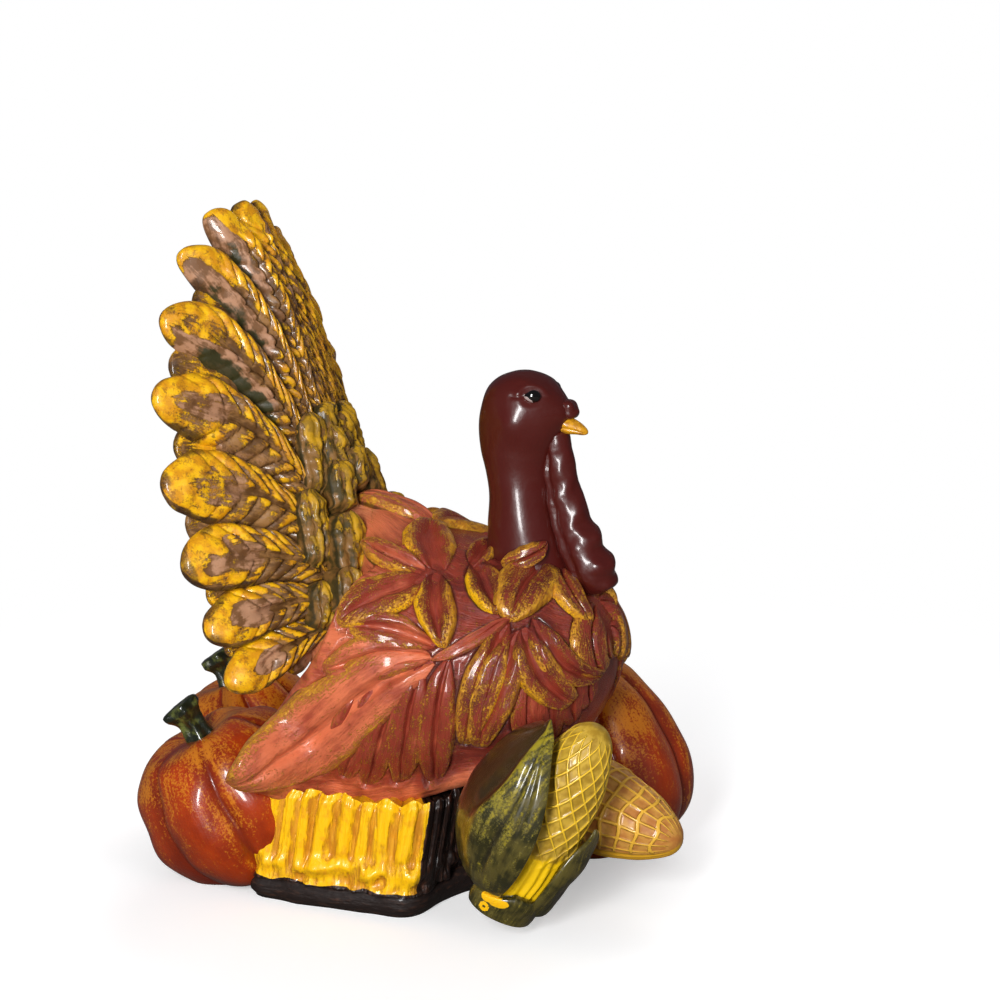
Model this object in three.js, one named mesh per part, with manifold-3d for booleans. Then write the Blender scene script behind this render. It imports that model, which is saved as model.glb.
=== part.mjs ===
// Cast turkey figure sitting on a hay bale with pumpkins and corn.
// Millimetres; +X is ahead of the bird, -Y is its right side, +Z is up, z = 0 is the table.
import * as THREE from 'three';
import Module from 'manifold-3d';

const wasm = await Module();
wasm.setup();

// Clearance left at every bonded seat
const SEAT_GAP = 0.3;

// Base slab
const SLAB_THICKNESS = 6.5;
const SLAB_MARGIN = 1.2;
const SLAB_NOSE_LENGTH = 14;
const SLAB_NOSE_WIDTH = 32;
const SLAB_TAIL_LENGTH = 28;
const SLAB_TAIL_WIDTH = 44;

// Hay bale
const BALE_LENGTH = 52;
const BALE_WIDTH = 84;
const BALE_HEIGHT = 26;
const BALE_MID_X = -7;
const STRAW_PITCH = 5.2;
const STRAW_DEPTH = 1.3;

// Body, an egg lying along X whose back slopes down toward the neck
const BODY_HALF_LENGTH = 45;
const BODY_HALF_WIDTH = 37;
const BODY_HALF_HEIGHT = 32.5;
const BODY_MID_X = 12;
const BODY_ABOVE_BALE = 33.2;
const BODY_ROUNDNESS = 2.6;
const BODY_END_SHARE = 0.997;
const BACK_SLOPE = 7;
const END_LIFT = 9;
const REAR_SWELL = 6;
const END_SWELL = 6;
const BELLY_DROP = 3;

// Folded wings, a barrel that stands proud of the rear flank
const WING_HALF_SPREAD = 41;
const WING_BARREL_HALF_HEIGHT = 50;
const WING_BARREL_RISE = 2;
const WING_FRONT_X = 28;
const WING_FULL_X = -8;
const WING_TOP_ANGLE = 0.84;
const WING_FULL_ANGLE = 0.09;
const WING_DEPTH = 9;
const FLANK_RADIUS = 36;

// Raised feathers of wing and breast
const LEAF_HEIGHT = 2.2;
const LEAF_SINK = 1.6;
const LEAF_WIDEST = 0.45;
const LEAF_TAPER = 0.56;

// Neck and head
const NECK_X = 29.5;
const NECK_RADIUS = 9.3;
const NECK_FLARE_RADIUS = 13;
const NECK_FLARE_DEPTH = 12;
const NECK_SEAT_DROP = 3;
const NECK_LENGTH = 30;
const HEAD_FORWARD = 1.5;
const HEAD_HALF_LENGTH = 12;
const HEAD_HALF_WIDTH = 10.4;
const HEAD_HEIGHT = 19;
const SPIGOT_RADIUS = 5;
const SPIGOT_DEPTH = 9;

// Face
const EYE_RADIUS = 2.7;
const EYE_FORWARD = 5.6;
const EYE_LEVEL = 0.76;
const EYE_OUT = 0.74;
const BEAK_LENGTH = 10;
const BEAK_HALF_HEIGHT = 3.4;
const BEAK_HALF_WIDTH = 3.2;
const BEAK_HOOK = 1.4;
const BEAK_SINK = 3;
const BEAK_LEVEL = 0.25;
const SNOOD_RADIUS = 3;
const SNOOD_FORWARD = 2.4;
const WATTLE_TOP_RADIUS = 3.6;
const WATTLE_LOW_RADIUS = 6.8;
const WATTLE_LUMP = 0.9;
const WATTLE_TOP_SINK = 1.5;
const WATTLE_LOW_SINK = 6;
const WATTLE_FOOT_LEVEL = 0.58;
const WATTLE_ROUND_FROM = 0.62;
const WATTLE_ROUND_LENGTH = 0.42;
const WATTLE_BOW = 1.4;

// Tail fan
const FEATHER_COUNT = 17;
const FEATHER_STEP = THREE.MathUtils.degToRad(5.1);
const FEATHER_SPREAD = THREE.MathUtils.degToRad(0.72);
const FAN_REACH = 126;
const FAN_SIDE_LOSS = 73;
const FAN_LOSS_FROM = 0.6;
const FAN_LOSS_END = 0.4;
const FAN_FOCUS_X = -12.5;
const FAN_FOCUS_DROP = 4;
const FAN_LEAN = 0.3;
const FAN_SWEEP = 0.48;
const FAN_CURL = 0.0024;
const FAN_CURL_START = 80;
const FAN_RIDGE = 12;
const QUILL_START = 8;
const QUILL_PITCH = 2.2;
const QUILL_BEND_SHARE = 0.72;
const QUILL_BEND_RISE = 15;
const FEATHER_FRONT = 4.6;
const FEATHER_BACK = 4.2;
const FEATHER_TILT = 2.4;
const BARB_DEPTH = 0.3;
const BARB_SLANT = 0.12;
const PAD_ROUND_FROM = 0.8;
const PAD_ROUND_LENGTH = 0.206;
const PAD_TIP_HEIGHT = 0.55;
const COVERT_COUNT = 7;
const COVERT_STEP = THREE.MathUtils.degToRad(25);
const COVERT_START = 24;
const COVERT_REACH = 68;
const COVERT_SIDE_LOSS = 8;
const COVERT_THICKNESS = 4.6;

// Pumpkins: centre, half-height, radius, tilt of the stem end toward -X, its lean toward -Y, rib count,
// and how far the lower half swells past the upper
const PUMPKIN_GROOVE = 0.15;
const PUMPKIN_DIMPLE = 5;
const PUMPKIN_DIMPLE_WIDTH = 0.4;
const PUMPKIN_FULLNESS = 0.85;
const PUMPKIN_SEAT_LEVEL = 0.93;
const NEAR_PUMPKIN = {
  x: -46.5, y: -26.5, halfHeight: 25, radius: 26.5, tilt: 0.42, lean: 0.2, ribs: 6, pear: 0,
};
const FAR_PUMPKIN = { x: -66, y: 25, halfHeight: 24, radius: 22, tilt: 0.35, lean: 0.1, ribs: 8, pear: 0 };
const FRONT_PUMPKIN = {
  x: 41, y: 34, halfHeight: 31, radius: 24.5, tilt: 0.35, lean: 0, ribs: 7, pear: 0.24,
};
const STEM_LENGTH = 12;
const STEM_RADIUS = 4.2;
const STEM_SINK = 2;
const STEM_BEND = 2;
const STEM_WAIST = 0.35;
const STEM_CUT_SLOPE = 0.31;

// Corn
const COB_RADIUS = 11;
const COB_LENGTH = 56;
const COB_X = 40;
const COB_Y = -37;
const COB_FOOT_RISE = 4;
const COB_LEAN = 0.5;
const COB_WIDEST = 0.4;
const COB_FOOT_RUN = 0.62;
const COB_TIP_RUN = 0.605;
const COB_ROUNDNESS = 2.2;
const SIDE_COB_RADIUS = 13.5;
const SIDE_COB_LENGTH = 38;
const SIDE_COB_X = 44;
const SIDE_COB_Z = 27.5;
const HUSK_THICKNESS = 3;
const HUSK_SEAT = 0.18;
const HUSK_WIDEST = 0.42;
const HUSK_TAPER = 0.585;

// Finishes
const MAROON = { color: 0x4a1412, roughness: 0.25 };
const BRICK = { color: 0x8f3a30, roughness: 0.4 };
const SALMON = { color: 0xb85a48, roughness: 0.4 };
const LEAF_RED = { color: 0x86352b, roughness: 0.4 };
const TAIL_GOLD = { color: 0xc08a22, roughness: 0.4 };
const COVERT_OLIVE = { color: 0x77602a, roughness: 0.4 };
const ORANGE = { color: 0xa8401a, roughness: 0.35 };
const STEM_GREEN = { color: 0x24301a, roughness: 0.3 };
const CORN_YELLOW = { color: 0xc9a227, roughness: 0.4 };
const HUSK_GREEN = { color: 0x4d4f1f, roughness: 0.35 };
const STRAW_YELLOW = { color: 0xd0a018, roughness: 0.5 };
const SLAB_BROWN = { color: 0x2a1a12, roughness: 0.4 };
const BEAK_OCHRE = { color: 0xb8861f, roughness: 0.4 };
const EYE_BLACK = { color: 0x0c0a0a, roughness: 0.12 };

// Derived levels
const BALE_BOTTOM = SLAB_THICKNESS + SEAT_GAP;
const BALE_TOP = BALE_BOTTOM + BALE_HEIGHT;
const BODY_MID_Z = BALE_TOP + BODY_ABOVE_BALE;
const FAN_FOCUS_Z = BODY_MID_Z - FAN_FOCUS_DROP;
const RIGHT = -1;
const LEFT = 1;

const vec = (x, y, z) => new THREE.Vector3(x, y, z);
const smooth = (from, to, value) => {
  const t = THREE.MathUtils.clamp((value - from) / (to - from), 0, 1);
  return t * t * (3 - 2 * t);
};

// Half-width of an oval at a share of its half-length, kept above a small blunt end
const BLUNT_END = 0.02;
const ovalShare = (share, power) => Math.sqrt(Math.max(1 - Math.abs(share) ** power, BLUNT_END));

// Closed solid from points and triangles, turned so that its faces look outward
function solidOf(points, faces) {
  let volume = 0;
  for (const [a, b, c] of faces) {
    volume += points[a].dot(vec(0, 0, 0).crossVectors(points[b], points[c]));
  }
  const outward = volume > 0 ? faces : faces.map(([a, b, c]) => [a, c, b]);
  const vertProperties = new Float32Array(points.flatMap((p) => p.toArray()));
  const triVerts = new Uint32Array(outward.flat());
  return new wasm.Manifold(new wasm.Mesh({ numProp: 3, vertProperties, triVerts }));
}

// Solid through rings of equal count; a fan about the middle of each end ring closes it
function loft(rings) {
  const count = rings[0].length;
  const points = rings.flat();
  const faces = [];
  for (let i = 0; i < rings.length - 1; i += 1) {
    for (let j = 0; j < count; j += 1) {
      const a = i * count + j;
      const b = i * count + ((j + 1) % count);
      faces.push([a, b, b + count], [a, b + count, a + count]);
    }
  }
  const lastStart = (rings.length - 1) * count;
  for (const [ring, start, flip] of [[rings[0], 0, true], [rings.at(-1), lastStart, false]]) {
    const middle = ring.reduce((sum, p) => sum.add(p), vec(0, 0, 0)).divideScalar(count);
    const hub = points.push(middle) - 1;
    for (let j = 0; j < count; j += 1) {
      const a = start + j;
      const b = start + ((j + 1) % count);
      faces.push(flip ? [hub, b, a] : [hub, a, b]);
    }
  }
  return solidOf(points, faces);
}

const join = (solids) => solids.reduce((all, solid) => all.add(solid));
const cut = (solid, cutters) => cutters.reduce((rest, cutter) => rest.subtract(cutter), solid);

// Ring of points round an axis, centre + a cos + b sin
function ringAbout(centre, a, b, count) {
  return Array.from({ length: count }, (_, i) => {
    const angle = (2 * Math.PI * i) / count;
    return centre.clone().addScaledVector(a, Math.cos(angle)).addScaledVector(b, Math.sin(angle));
  });
}

// Prism standing on a plan outline
function prism(outline, bottom, top) {
  return loft([bottom, top].map((z) => outline.map(([x, y]) => vec(x, y, z))));
}

// Ellipsoid with half-sizes along the three axes
const ELLIPSOID_STATIONS = [0.12, 0.35, 0.65, 0.88];
function ellipsoid(centre, half, grow) {
  const rings = ELLIPSOID_STATIONS.map((share) => {
    const angle = Math.PI * share;
    const middle = centre.clone().add(vec(0, 0, -(half.z + grow) * Math.cos(angle)));
    const reach = Math.sin(angle);
    return ringAbout(middle, vec((half.x + grow) * reach, 0, 0), vec(0, (half.y + grow) * reach, 0), 10);
  });
  return loft(rings);
}

// Base slab: a plate under the bale, drawn out to a nose under the breast and a tail between the pumpkins
function slabOutline(grow) {
  const rear = BALE_MID_X - BALE_LENGTH / 2 - SLAB_MARGIN - grow;
  const front = BALE_MID_X + BALE_LENGTH / 2 + SLAB_MARGIN + grow;
  const side = BALE_WIDTH / 2 + SLAB_MARGIN + grow;
  const nose = SLAB_NOSE_WIDTH / 2 + grow;
  const tip = front + SLAB_NOSE_LENGTH;
  const tail = SLAB_TAIL_WIDTH / 2 + grow;
  const end = rear - SLAB_TAIL_LENGTH;
  return [[rear, -side], [front, -side], [front, -nose], [tip, -nose], [tip, nose], [front, nose],
    [front, side], [rear, side], [rear, tail], [end, tail], [end, -tail], [rear, -tail]];
}
const slab = (grow) => prism(slabOutline(grow), -grow, SLAB_THICKNESS + grow);

// Bale: a block whose plan outline runs in and out once for every straw
function baleOutline(grow) {
  const halfLength = BALE_LENGTH / 2 + grow;
  const halfWidth = BALE_WIDTH / 2 + grow;
  const corners = [[-1, -1], [1, -1], [1, 1], [-1, 1]].map(([a, b]) => [a * halfLength, b * halfWidth]);
  return corners.flatMap(([x, y], i) => {
    const [endX, endY] = corners[(i + 1) % corners.length];
    const steps = 2 * Math.round(Math.hypot(endX - x, endY - y) / STRAW_PITCH);
    return Array.from({ length: steps }, (_, k) => {
      const share = k / steps;
      const inward = k % 2 ? 1 - STRAW_DEPTH / halfLength : 1;
      return [BALE_MID_X + inward * (x + (endX - x) * share), inward * (y + (endY - y) * share)];
    });
  });
}
const bale = (grow) => prism(baleOutline(grow), BALE_BOTTOM - grow, BALE_TOP + grow);

// Cross-section of the body at x: its middle height, upper, lower and side half-sizes
function bodySection(x, grow) {
  const share = THREE.MathUtils.clamp((x - BODY_MID_X) / (BODY_HALF_LENGTH + grow), -1, 1);
  const round = Math.sqrt(1 - Math.abs(share) ** BODY_ROUNDNESS);
  const tall = (BODY_HALF_HEIGHT - REAR_SWELL * share + END_SWELL * share * share) * round + grow;
  return {
    mid: BODY_MID_Z - BACK_SLOPE * share + END_LIFT * share * share,
    up: tall,
    down: tall + BELLY_DROP * round,
    side: BODY_HALF_WIDTH * round + grow,
  };
}

function body(grow) {
  const stations = 12;
  const ringCount = 20;
  const rings = Array.from({ length: stations + 1 }, (_, i) => {
    const share = BODY_END_SHARE * Math.sin(Math.PI * (i / stations - 0.5));
    const x = BODY_MID_X + (BODY_HALF_LENGTH + grow) * share;
    const { mid, up, down, side } = bodySection(x, grow);
    return Array.from({ length: ringCount }, (_, j) => {
      const angle = (2 * Math.PI * j) / ringCount;
      const rise = Math.sin(angle);
      return vec(x, side * Math.cos(angle), mid + (rise > 0 ? up : down) * rise);
    });
  });
  return loft(rings);
}

// Flank: the body side, standing out to the folded wing at the lower rear.
// "along" is measured from the middle of the body, forward positive; "arc" up from its widest line.
function flankPoint(along, arc, hand) {
  const angle = arc / FLANK_RADIUS;
  const bend = along > 0 ? BODY_HALF_LENGTH * Math.sin(along / BODY_HALF_LENGTH) : along;
  const x = BODY_MID_X + bend;
  const { mid, up, down, side } = bodySection(x, 0);
  const wing = smooth(WING_FRONT_X, WING_FULL_X, x) * smooth(WING_TOP_ANGLE, WING_FULL_ANGLE, angle);
  const out = THREE.MathUtils.lerp(side, WING_HALF_SPREAD, wing);
  const height = THREE.MathUtils.lerp(angle > 0 ? up : down, WING_BARREL_HALF_HEIGHT, wing);
  const level = THREE.MathUtils.lerp(mid, BODY_MID_Z + WING_BARREL_RISE, wing);
  return vec(x, hand * out * Math.cos(angle), level + height * Math.sin(angle));
}

function flank(along, arc, lift, hand) {
  const step = 0.5;
  const point = flankPoint(along, arc, hand);
  const forward = flankPoint(along + step, arc, hand).sub(flankPoint(along - step, arc, hand));
  const upward = flankPoint(along, arc + step, hand).sub(flankPoint(along, arc - step, hand));
  const normal = forward.cross(upward).multiplyScalar(-hand).normalize();
  return point.addScaledVector(normal, lift);
}

// Feather relief on the flank: root, tip, width; two swelling vanes beside a sunk midrib
const LEAF_STATIONS = [0, 0.25, 0.55, 0.85, 1];
const LEAF_RING = [[-1, 0.1], [-0.5, 1], [0, 0.7], [0.5, 1], [1, 0.1], [0.8, -1], [-0.8, -1]];
function leaf([rootAlong, rootArc, tipAlong, tipArc, width], hand, grow) {
  const runAlong = tipAlong - rootAlong;
  const runArc = tipArc - rootArc;
  const length = Math.hypot(runAlong, runArc);
  const rings = LEAF_STATIONS.map((share) => {
    const half = (width / 2) * ovalShare((share - LEAF_WIDEST) / LEAF_TAPER, 2) + grow;
    const reach = share + (grow * Math.sign(share - 0.5)) / length;
    return LEAF_RING.map(([across, rise]) => {
      const along = rootAlong + runAlong * reach - (runArc / length) * across * half;
      const arc = rootArc + runArc * reach + (runAlong / length) * across * half;
      const lift = rise > 0 ? LEAF_HEIGHT * rise + grow : -LEAF_SINK - grow;
      return flank(along, arc, lift, hand);
    });
  });
  return loft(rings);
}

// Feather groups of one side, in flank measures: root along, root arc, tip along, tip arc, width
const PRIMARIES = [[21, 15, -4, -3, 5], [1, 0.5, -54, -27.5, 15], [1, 2, -30.5, -7, 8],
  [8.5, 7, -25.5, 3, 8]];
const SECONDARIES = [[-6, -8, -20.5, -21, 7], [-1.5, -5, -19.5, -26, 7.4], [3, -2.5, -14.5, -28.5, 7.6],
  [8, 0.5, -3, -24, 8.4], [13.5, 4, 4.5, -29, 8.6]];
const MIDDLES = [[25.7, 21, 15, -12.5, 9], [31, 19, 18.4, -17.5, 10], [32.5, 20, 48.5, -12, 11],
  [37.5, 28, 59, -1, 10]];
const UPPERS = [[2, 28, -17.5, 9, 10.5], [0.5, 29.5, -18.5, 31.5, 7], [3, 31, 9.5, 11.5, 9.5],
  [5, 32, -8.5, 41, 8], [5, 34, 5.5, 46, 7], [7, 36, 22.5, 24, 9]];
const SHOULDERS = [[29, 47, 30, 24, 12], [32, 48, 51, 32, 9]];
const BREASTS = [[36, 0, 34, -22, 9.5], [43, 2, 41, -26, 9.5], [50, 4, 48, -26, 9.5], [56, 8, 54, -20, 9.5],
  [45, 40, 54, 4, 8]];
const group = (leaves, hand, grow) => join(leaves.map((row) => leaf(row, hand, grow)));

// Wing plate below the feathers, from shoulder to wing tip; its cross lines lean back by the slant
const WING_ROOT = { along: 27, arc: 14 };
const WING_TIP = { along: -47, arc: -24 };
const WING_SLANT = 0.36;
const WING_STATIONS = [0, 0.18, 0.4, 0.62, 0.82, 1];
const WING_HALF_WIDTHS = [8, 17, 21, 19, 12, 4];
const WING_ACROSS = [-1, -0.6, 0, 0.6, 1];
function wingPlate(hand, grow) {
  const rings = WING_STATIONS.map((share, i) => {
    const half = WING_HALF_WIDTHS[i] + grow;
    const along0 = THREE.MathUtils.lerp(WING_ROOT.along, WING_TIP.along, share);
    const arc0 = THREE.MathUtils.lerp(WING_ROOT.arc, WING_TIP.arc, share);
    const spots = WING_ACROSS.map((across) => ({
      along: along0 - Math.sin(WING_SLANT) * across * half,
      arc: arc0 + Math.cos(WING_SLANT) * across * half,
    }));
    const outside = spots.map(({ along, arc }) => flank(along, arc, grow, hand));
    const inward = vec(0, -hand * (WING_DEPTH + grow), 0);
    const inside = spots.toReversed().map(({ along, arc }) => flankPoint(along, arc, hand).add(inward));
    return [...outside, ...inside];
  });
  return loft(rings);
}

// Neck and head: rings rising from the body, swelling into a head carried a little forward
const NECK_TOP = BODY_MID_Z + BODY_HALF_HEIGHT - NECK_SEAT_DROP;
const HEAD_BASE = NECK_TOP + NECK_LENGTH;
const HEAD_X = NECK_X + HEAD_FORWARD;
// Neck rows: share of the neck's length, shift ahead, share of its radius
const NECK_ROWS = [[-0.03, 0.5, 1.15], [0.2, 0, 1], [0.75, -0.8, 1]];
// Head rows: share of the head's height, shift ahead, shares of its half-length and half-width
const HEAD_ROWS = [[0, -1.5, 0.9, 0.93], [0.28, -0.5, 1, 1], [0.55, 0, 0.94, 0.98], [0.78, 0, 0.74, 0.8],
  [0.93, 0, 0.42, 0.46], [1, 0, 0.1, 0.1]];
function neckHead(grow) {
  const flare = [NECK_TOP - NECK_FLARE_DEPTH, NECK_X, NECK_FLARE_RADIUS, NECK_FLARE_RADIUS];
  const neck = NECK_ROWS.map(([share, ahead, size]) => (
    [NECK_TOP + NECK_LENGTH * share, NECK_X + ahead, NECK_RADIUS * size, NECK_RADIUS * size]));
  const headHeight = HEAD_HEIGHT + grow;
  const head = HEAD_ROWS.map(([share, ahead, long, wide]) => (
    [HEAD_BASE + headHeight * share, HEAD_X + ahead, HEAD_HALF_LENGTH * long, HEAD_HALF_WIDTH * wide]));
  return loft([flare, ...neck, ...head].map(([z, x, halfX, halfY]) => (
    ringAbout(vec(x, 0, z), vec(halfX + grow, 0, 0), vec(0, halfY + grow, 0), 16))));
}

// Round peg under the neck, let into the body
function neckSpigot(grow) {
  const { mid, up } = bodySection(NECK_X, 0);
  const radius = SPIGOT_RADIUS + grow;
  const levels = [mid + up - SPIGOT_DEPTH - grow, NECK_TOP + SPIGOT_RADIUS];
  return loft(levels.map((z) => ringAbout(vec(NECK_X, 0, z), vec(radius, 0, 0), vec(0, radius, 0), 16)));
}

// Eye: an almond bead let into the side of the head
const eye = (hand, grow) => ellipsoid(
  vec(HEAD_X + EYE_FORWARD, hand * HEAD_HALF_WIDTH * EYE_OUT, HEAD_BASE + HEAD_HEIGHT * EYE_LEVEL),
  vec(EYE_RADIUS, EYE_RADIUS * 0.7, EYE_RADIUS * 0.8), grow);

// Beak: a short hooked cone out of the face
const BEAK_ROOT_X = HEAD_X + HEAD_HALF_LENGTH - BEAK_SINK;
const BEAK_Z = HEAD_BASE + HEAD_HEIGHT * BEAK_LEVEL;
const BEAK_ROWS = [[0, 1], [0.45, 0.85], [0.8, 0.5], [1, 0.12]];
function beak(grow) {
  return loft(BEAK_ROWS.map(([share, fatness]) => {
    const centre = vec(BEAK_ROOT_X + (BEAK_LENGTH + grow) * share, 0, BEAK_Z - BEAK_HOOK * share * share);
    const wide = BEAK_HALF_WIDTH * fatness + grow;
    const tall = BEAK_HALF_HEIGHT * fatness + grow;
    return ringAbout(centre, vec(0, wide, 0), vec(0, 0, tall), 8);
  }));
}

// Snood: the fleshy knob above the beak
const snood = (grow) => ellipsoid(
  vec(BEAK_ROOT_X + SNOOD_FORWARD, 0, BEAK_Z + BEAK_HALF_HEIGHT + SNOOD_RADIUS / 2),
  vec(SNOOD_RADIUS * 1.2, SNOOD_RADIUS, SNOOD_RADIUS), grow);

// Wattle: a lumpy drop hanging from the throat onto the breast
function wattle(grow) {
  const topX = HEAD_X + HEAD_HALF_LENGTH - WATTLE_TOP_SINK;
  const lowX = BODY_MID_X + BODY_HALF_LENGTH - WATTLE_LOW_SINK;
  const lowZ = BODY_MID_Z + BODY_HALF_HEIGHT * WATTLE_FOOT_LEVEL;
  const stations = 10;
  return loft(Array.from({ length: stations + 1 }, (_, i) => {
    const share = i / stations;
    const end = ovalShare(Math.max(share - WATTLE_ROUND_FROM, 0) / WATTLE_ROUND_LENGTH, 4);
    const plain = THREE.MathUtils.lerp(WATTLE_TOP_RADIUS, WATTLE_LOW_RADIUS, share);
    const radius = plain * end + WATTLE_LUMP * (i % 2) + grow;
    const x = THREE.MathUtils.lerp(topX, lowX, share ** WATTLE_BOW);
    const centre = vec(x, 0, THREE.MathUtils.lerp(BEAK_Z, lowZ, share));
    return ringAbout(centre, vec(radius, 0, 0), vec(0, radius * 0.9, 0), 10);
  }));
}

// Fan surface: y across, rise above the focus, lift in front of the feathers' middle
function fan(y, rise, lift) {
  const side = Math.sqrt(y * y + FAN_RIDGE * FAN_RIDGE);
  const curled = Math.max(rise - FAN_CURL_START, 0);
  const x = FAN_FOCUS_X - FAN_LEAN * rise - FAN_CURL * curled * curled - FAN_SWEEP * (side - FAN_RIDGE);
  const normal = vec(1, (FAN_SWEEP * y) / side, FAN_LEAN + 2 * FAN_CURL * curled).normalize();
  return vec(x, y, FAN_FOCUS_Z + rise).addScaledVector(normal, lift);
}

// Quill-shaped pad in one sector of the fan, between a back and a crowned front height
const PAD_RING = [[-1, 0.35], [-0.5, 0.85], [0, 1], [0.5, 0.85], [1, 0.35], [0.8, 0], [0, 0], [-0.8, 0]];
const PAD_STATIONS = [0, 0.45, 0.8, 0.91, 0.97, 1];
function fanPad(angle, step, start, reach, back, front) {
  const rings = PAD_STATIONS.map((share) => {
    const radius = start + (reach - start) * share;
    const sector = radius * Math.tan(step / 2) - SEAT_GAP / 2;
    const tip = ovalShare(Math.max(share - PAD_ROUND_FROM, 0) / PAD_ROUND_LENGTH, 2);
    const height = THREE.MathUtils.lerp(PAD_TIP_HEIGHT, 1, tip);
    return PAD_RING.map(([across, rise]) => {
      const offset = across * sector * tip;
      const y = radius * Math.sin(angle) + offset * Math.cos(angle);
      const z = radius * Math.cos(angle) - offset * Math.sin(angle);
      return fan(y, z, THREE.MathUtils.lerp(back, front, rise * height));
    });
  });
  return loft(rings);
}

// Place on the fan of a feather's middle line, with the feathers counted from the middle one: the quills
// leave the body side by side and bend outward to tips spread along an arc
const middleFeather = (FEATHER_COUNT - 1) / 2;
function quillPath(place, share) {
  const away = Math.abs(place);
  const angle = away * (FEATHER_STEP + FEATHER_SPREAD * away);
  const reach = FAN_REACH - FAN_SIDE_LOSS * smooth(FAN_LOSS_FROM, middleFeather - FAN_LOSS_END, away);
  const tipRise = reach * Math.cos(angle);
  const bendRise = QUILL_BEND_SHARE * tipRise + QUILL_BEND_RISE;
  const rest = 1 - share;
  const across = QUILL_PITCH * away * (1 - share * share) + reach * Math.sin(angle) * share * share;
  const rise = QUILL_START * rest * rest + 2 * bendRise * rest * share + tipRise * share * share;
  return new THREE.Vector2(Math.sign(place) * across, rise);
}

// Tail feather: fills its share of the fan; the shaft lies sunk between two rows of barbs that slant to the
// tip, and the inner edge stands over the neighbour
const FEATHER_TOP = [[-1, 0.2], [-0.7, 0.8], [-0.25, 1], [0, 0.65], [0.25, 1], [0.7, 0.8], [1, 0.2]];
const FEATHER_UNDER = [0.9, 0, -0.9];
const FEATHER_STATIONS = [0, 0.3, 0.38, 0.46, 0.54, 0.62, 0.7, 0.78, 0.86, 0.92, 0.97, 1];
const BARBS_END = 0.8;
function tailFeather(index) {
  const place = index - middleFeather;
  return loft(FEATHER_STATIONS.map((station, i) => {
    const slant = BARB_SLANT * smooth(0, 0.3, station) * smooth(0.95, 0.6, station);
    const barb = station < BARBS_END ? 1 - BARB_DEPTH * (i % 2) : 1;
    const at = (across, lift) => {
      const share = station + slant * Math.abs(across);
      const tip = ovalShare(Math.max(share - PAD_ROUND_FROM, 0) / PAD_ROUND_LENGTH, 2);
      const middle = quillPath(place, share);
      const edge = quillPath(place + (across * tip) / 2, share).sub(middle);
      edge.setLength(Math.max(edge.length() - (SEAT_GAP / 2) * Math.abs(across), 0));
      const height = THREE.MathUtils.lerp(PAD_TIP_HEIGHT, 1, tip);
      return fan(middle.x + edge.x, middle.y + edge.y, THREE.MathUtils.lerp(-FEATHER_BACK, lift, height));
    };
    const top = FEATHER_TOP.map(([across, rise]) => {
      const tilt = FEATHER_TILT * across * Math.sign(place);
      return at(across, FEATHER_FRONT * rise * barb - tilt);
    });
    const under = FEATHER_UNDER.map((across) => at(across, -FEATHER_BACK));
    return [...top, ...under];
  }));
}

// Covert: a short pad that rests on the crests of the feathers
const FEATHER_CREST = Math.max(
  ...FEATHER_TOP.map(([across, rise]) => FEATHER_FRONT * rise + FEATHER_TILT * Math.abs(across)));
function covert(index) {
  const place = index - (COVERT_COUNT - 1) / 2;
  const reach = COVERT_REACH - COVERT_SIDE_LOSS * Math.abs(place);
  const back = FEATHER_CREST + 2 * SEAT_GAP;
  return fanPad(place * COVERT_STEP, COVERT_STEP, COVERT_START, reach, back, back + COVERT_THICKNESS);
}

// Pumpkin: a ribbed, dimpled ball whose stem end tips toward -X and leans toward -Y, flattened by the table
const pumpkinAxis = ({ tilt, lean }) => vec(-Math.sin(tilt), -Math.sin(lean), Math.cos(tilt)).normalize();
const pumpkinMiddle = ({ x, y, halfHeight }) => vec(x, y, halfHeight * PUMPKIN_SEAT_LEVEL);
const pumpkinDip = (sine) => PUMPKIN_DIMPLE * Math.exp(-((sine / PUMPKIN_DIMPLE_WIDTH) ** 2));
const PUMPKIN_ENDS = [0.05, 0.97];
function pumpkin(spec, grow) {
  const axis = pumpkinAxis(spec);
  const across = vec(0, 1, 0).cross(axis).normalize();
  const sideways = axis.clone().cross(across);
  const pointsPerRib = 4;
  const count = spec.ribs * pointsPerRib;
  const stations = 8;
  return loft(Array.from({ length: stations }, (_, i) => {
    const angle = Math.PI * THREE.MathUtils.lerp(...PUMPKIN_ENDS, i / (stations - 1));
    const sine = Math.sin(angle);
    const dip = angle < Math.PI / 2 ? pumpkinDip(sine) : 0;
    const height = (spec.halfHeight + grow) * Math.cos(angle) - dip;
    const centre = pumpkinMiddle(spec).addScaledVector(axis, height);
    const swell = 1 - spec.pear * Math.cos(angle);
    return Array.from({ length: count }, (_, j) => {
      const turn = (2 * Math.PI * j) / count;
      const groove = PUMPKIN_GROOVE * (1 - Math.abs(Math.sin((turn * spec.ribs) / 2)));
      const radius = (spec.radius * swell * (1 - groove) + grow) * sine ** PUMPKIN_FULLNESS;
      return centre.clone().addScaledVector(across, radius * Math.cos(turn))
        .addScaledVector(sideways, radius * Math.sin(turn));
    });
  }));
}

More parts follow.
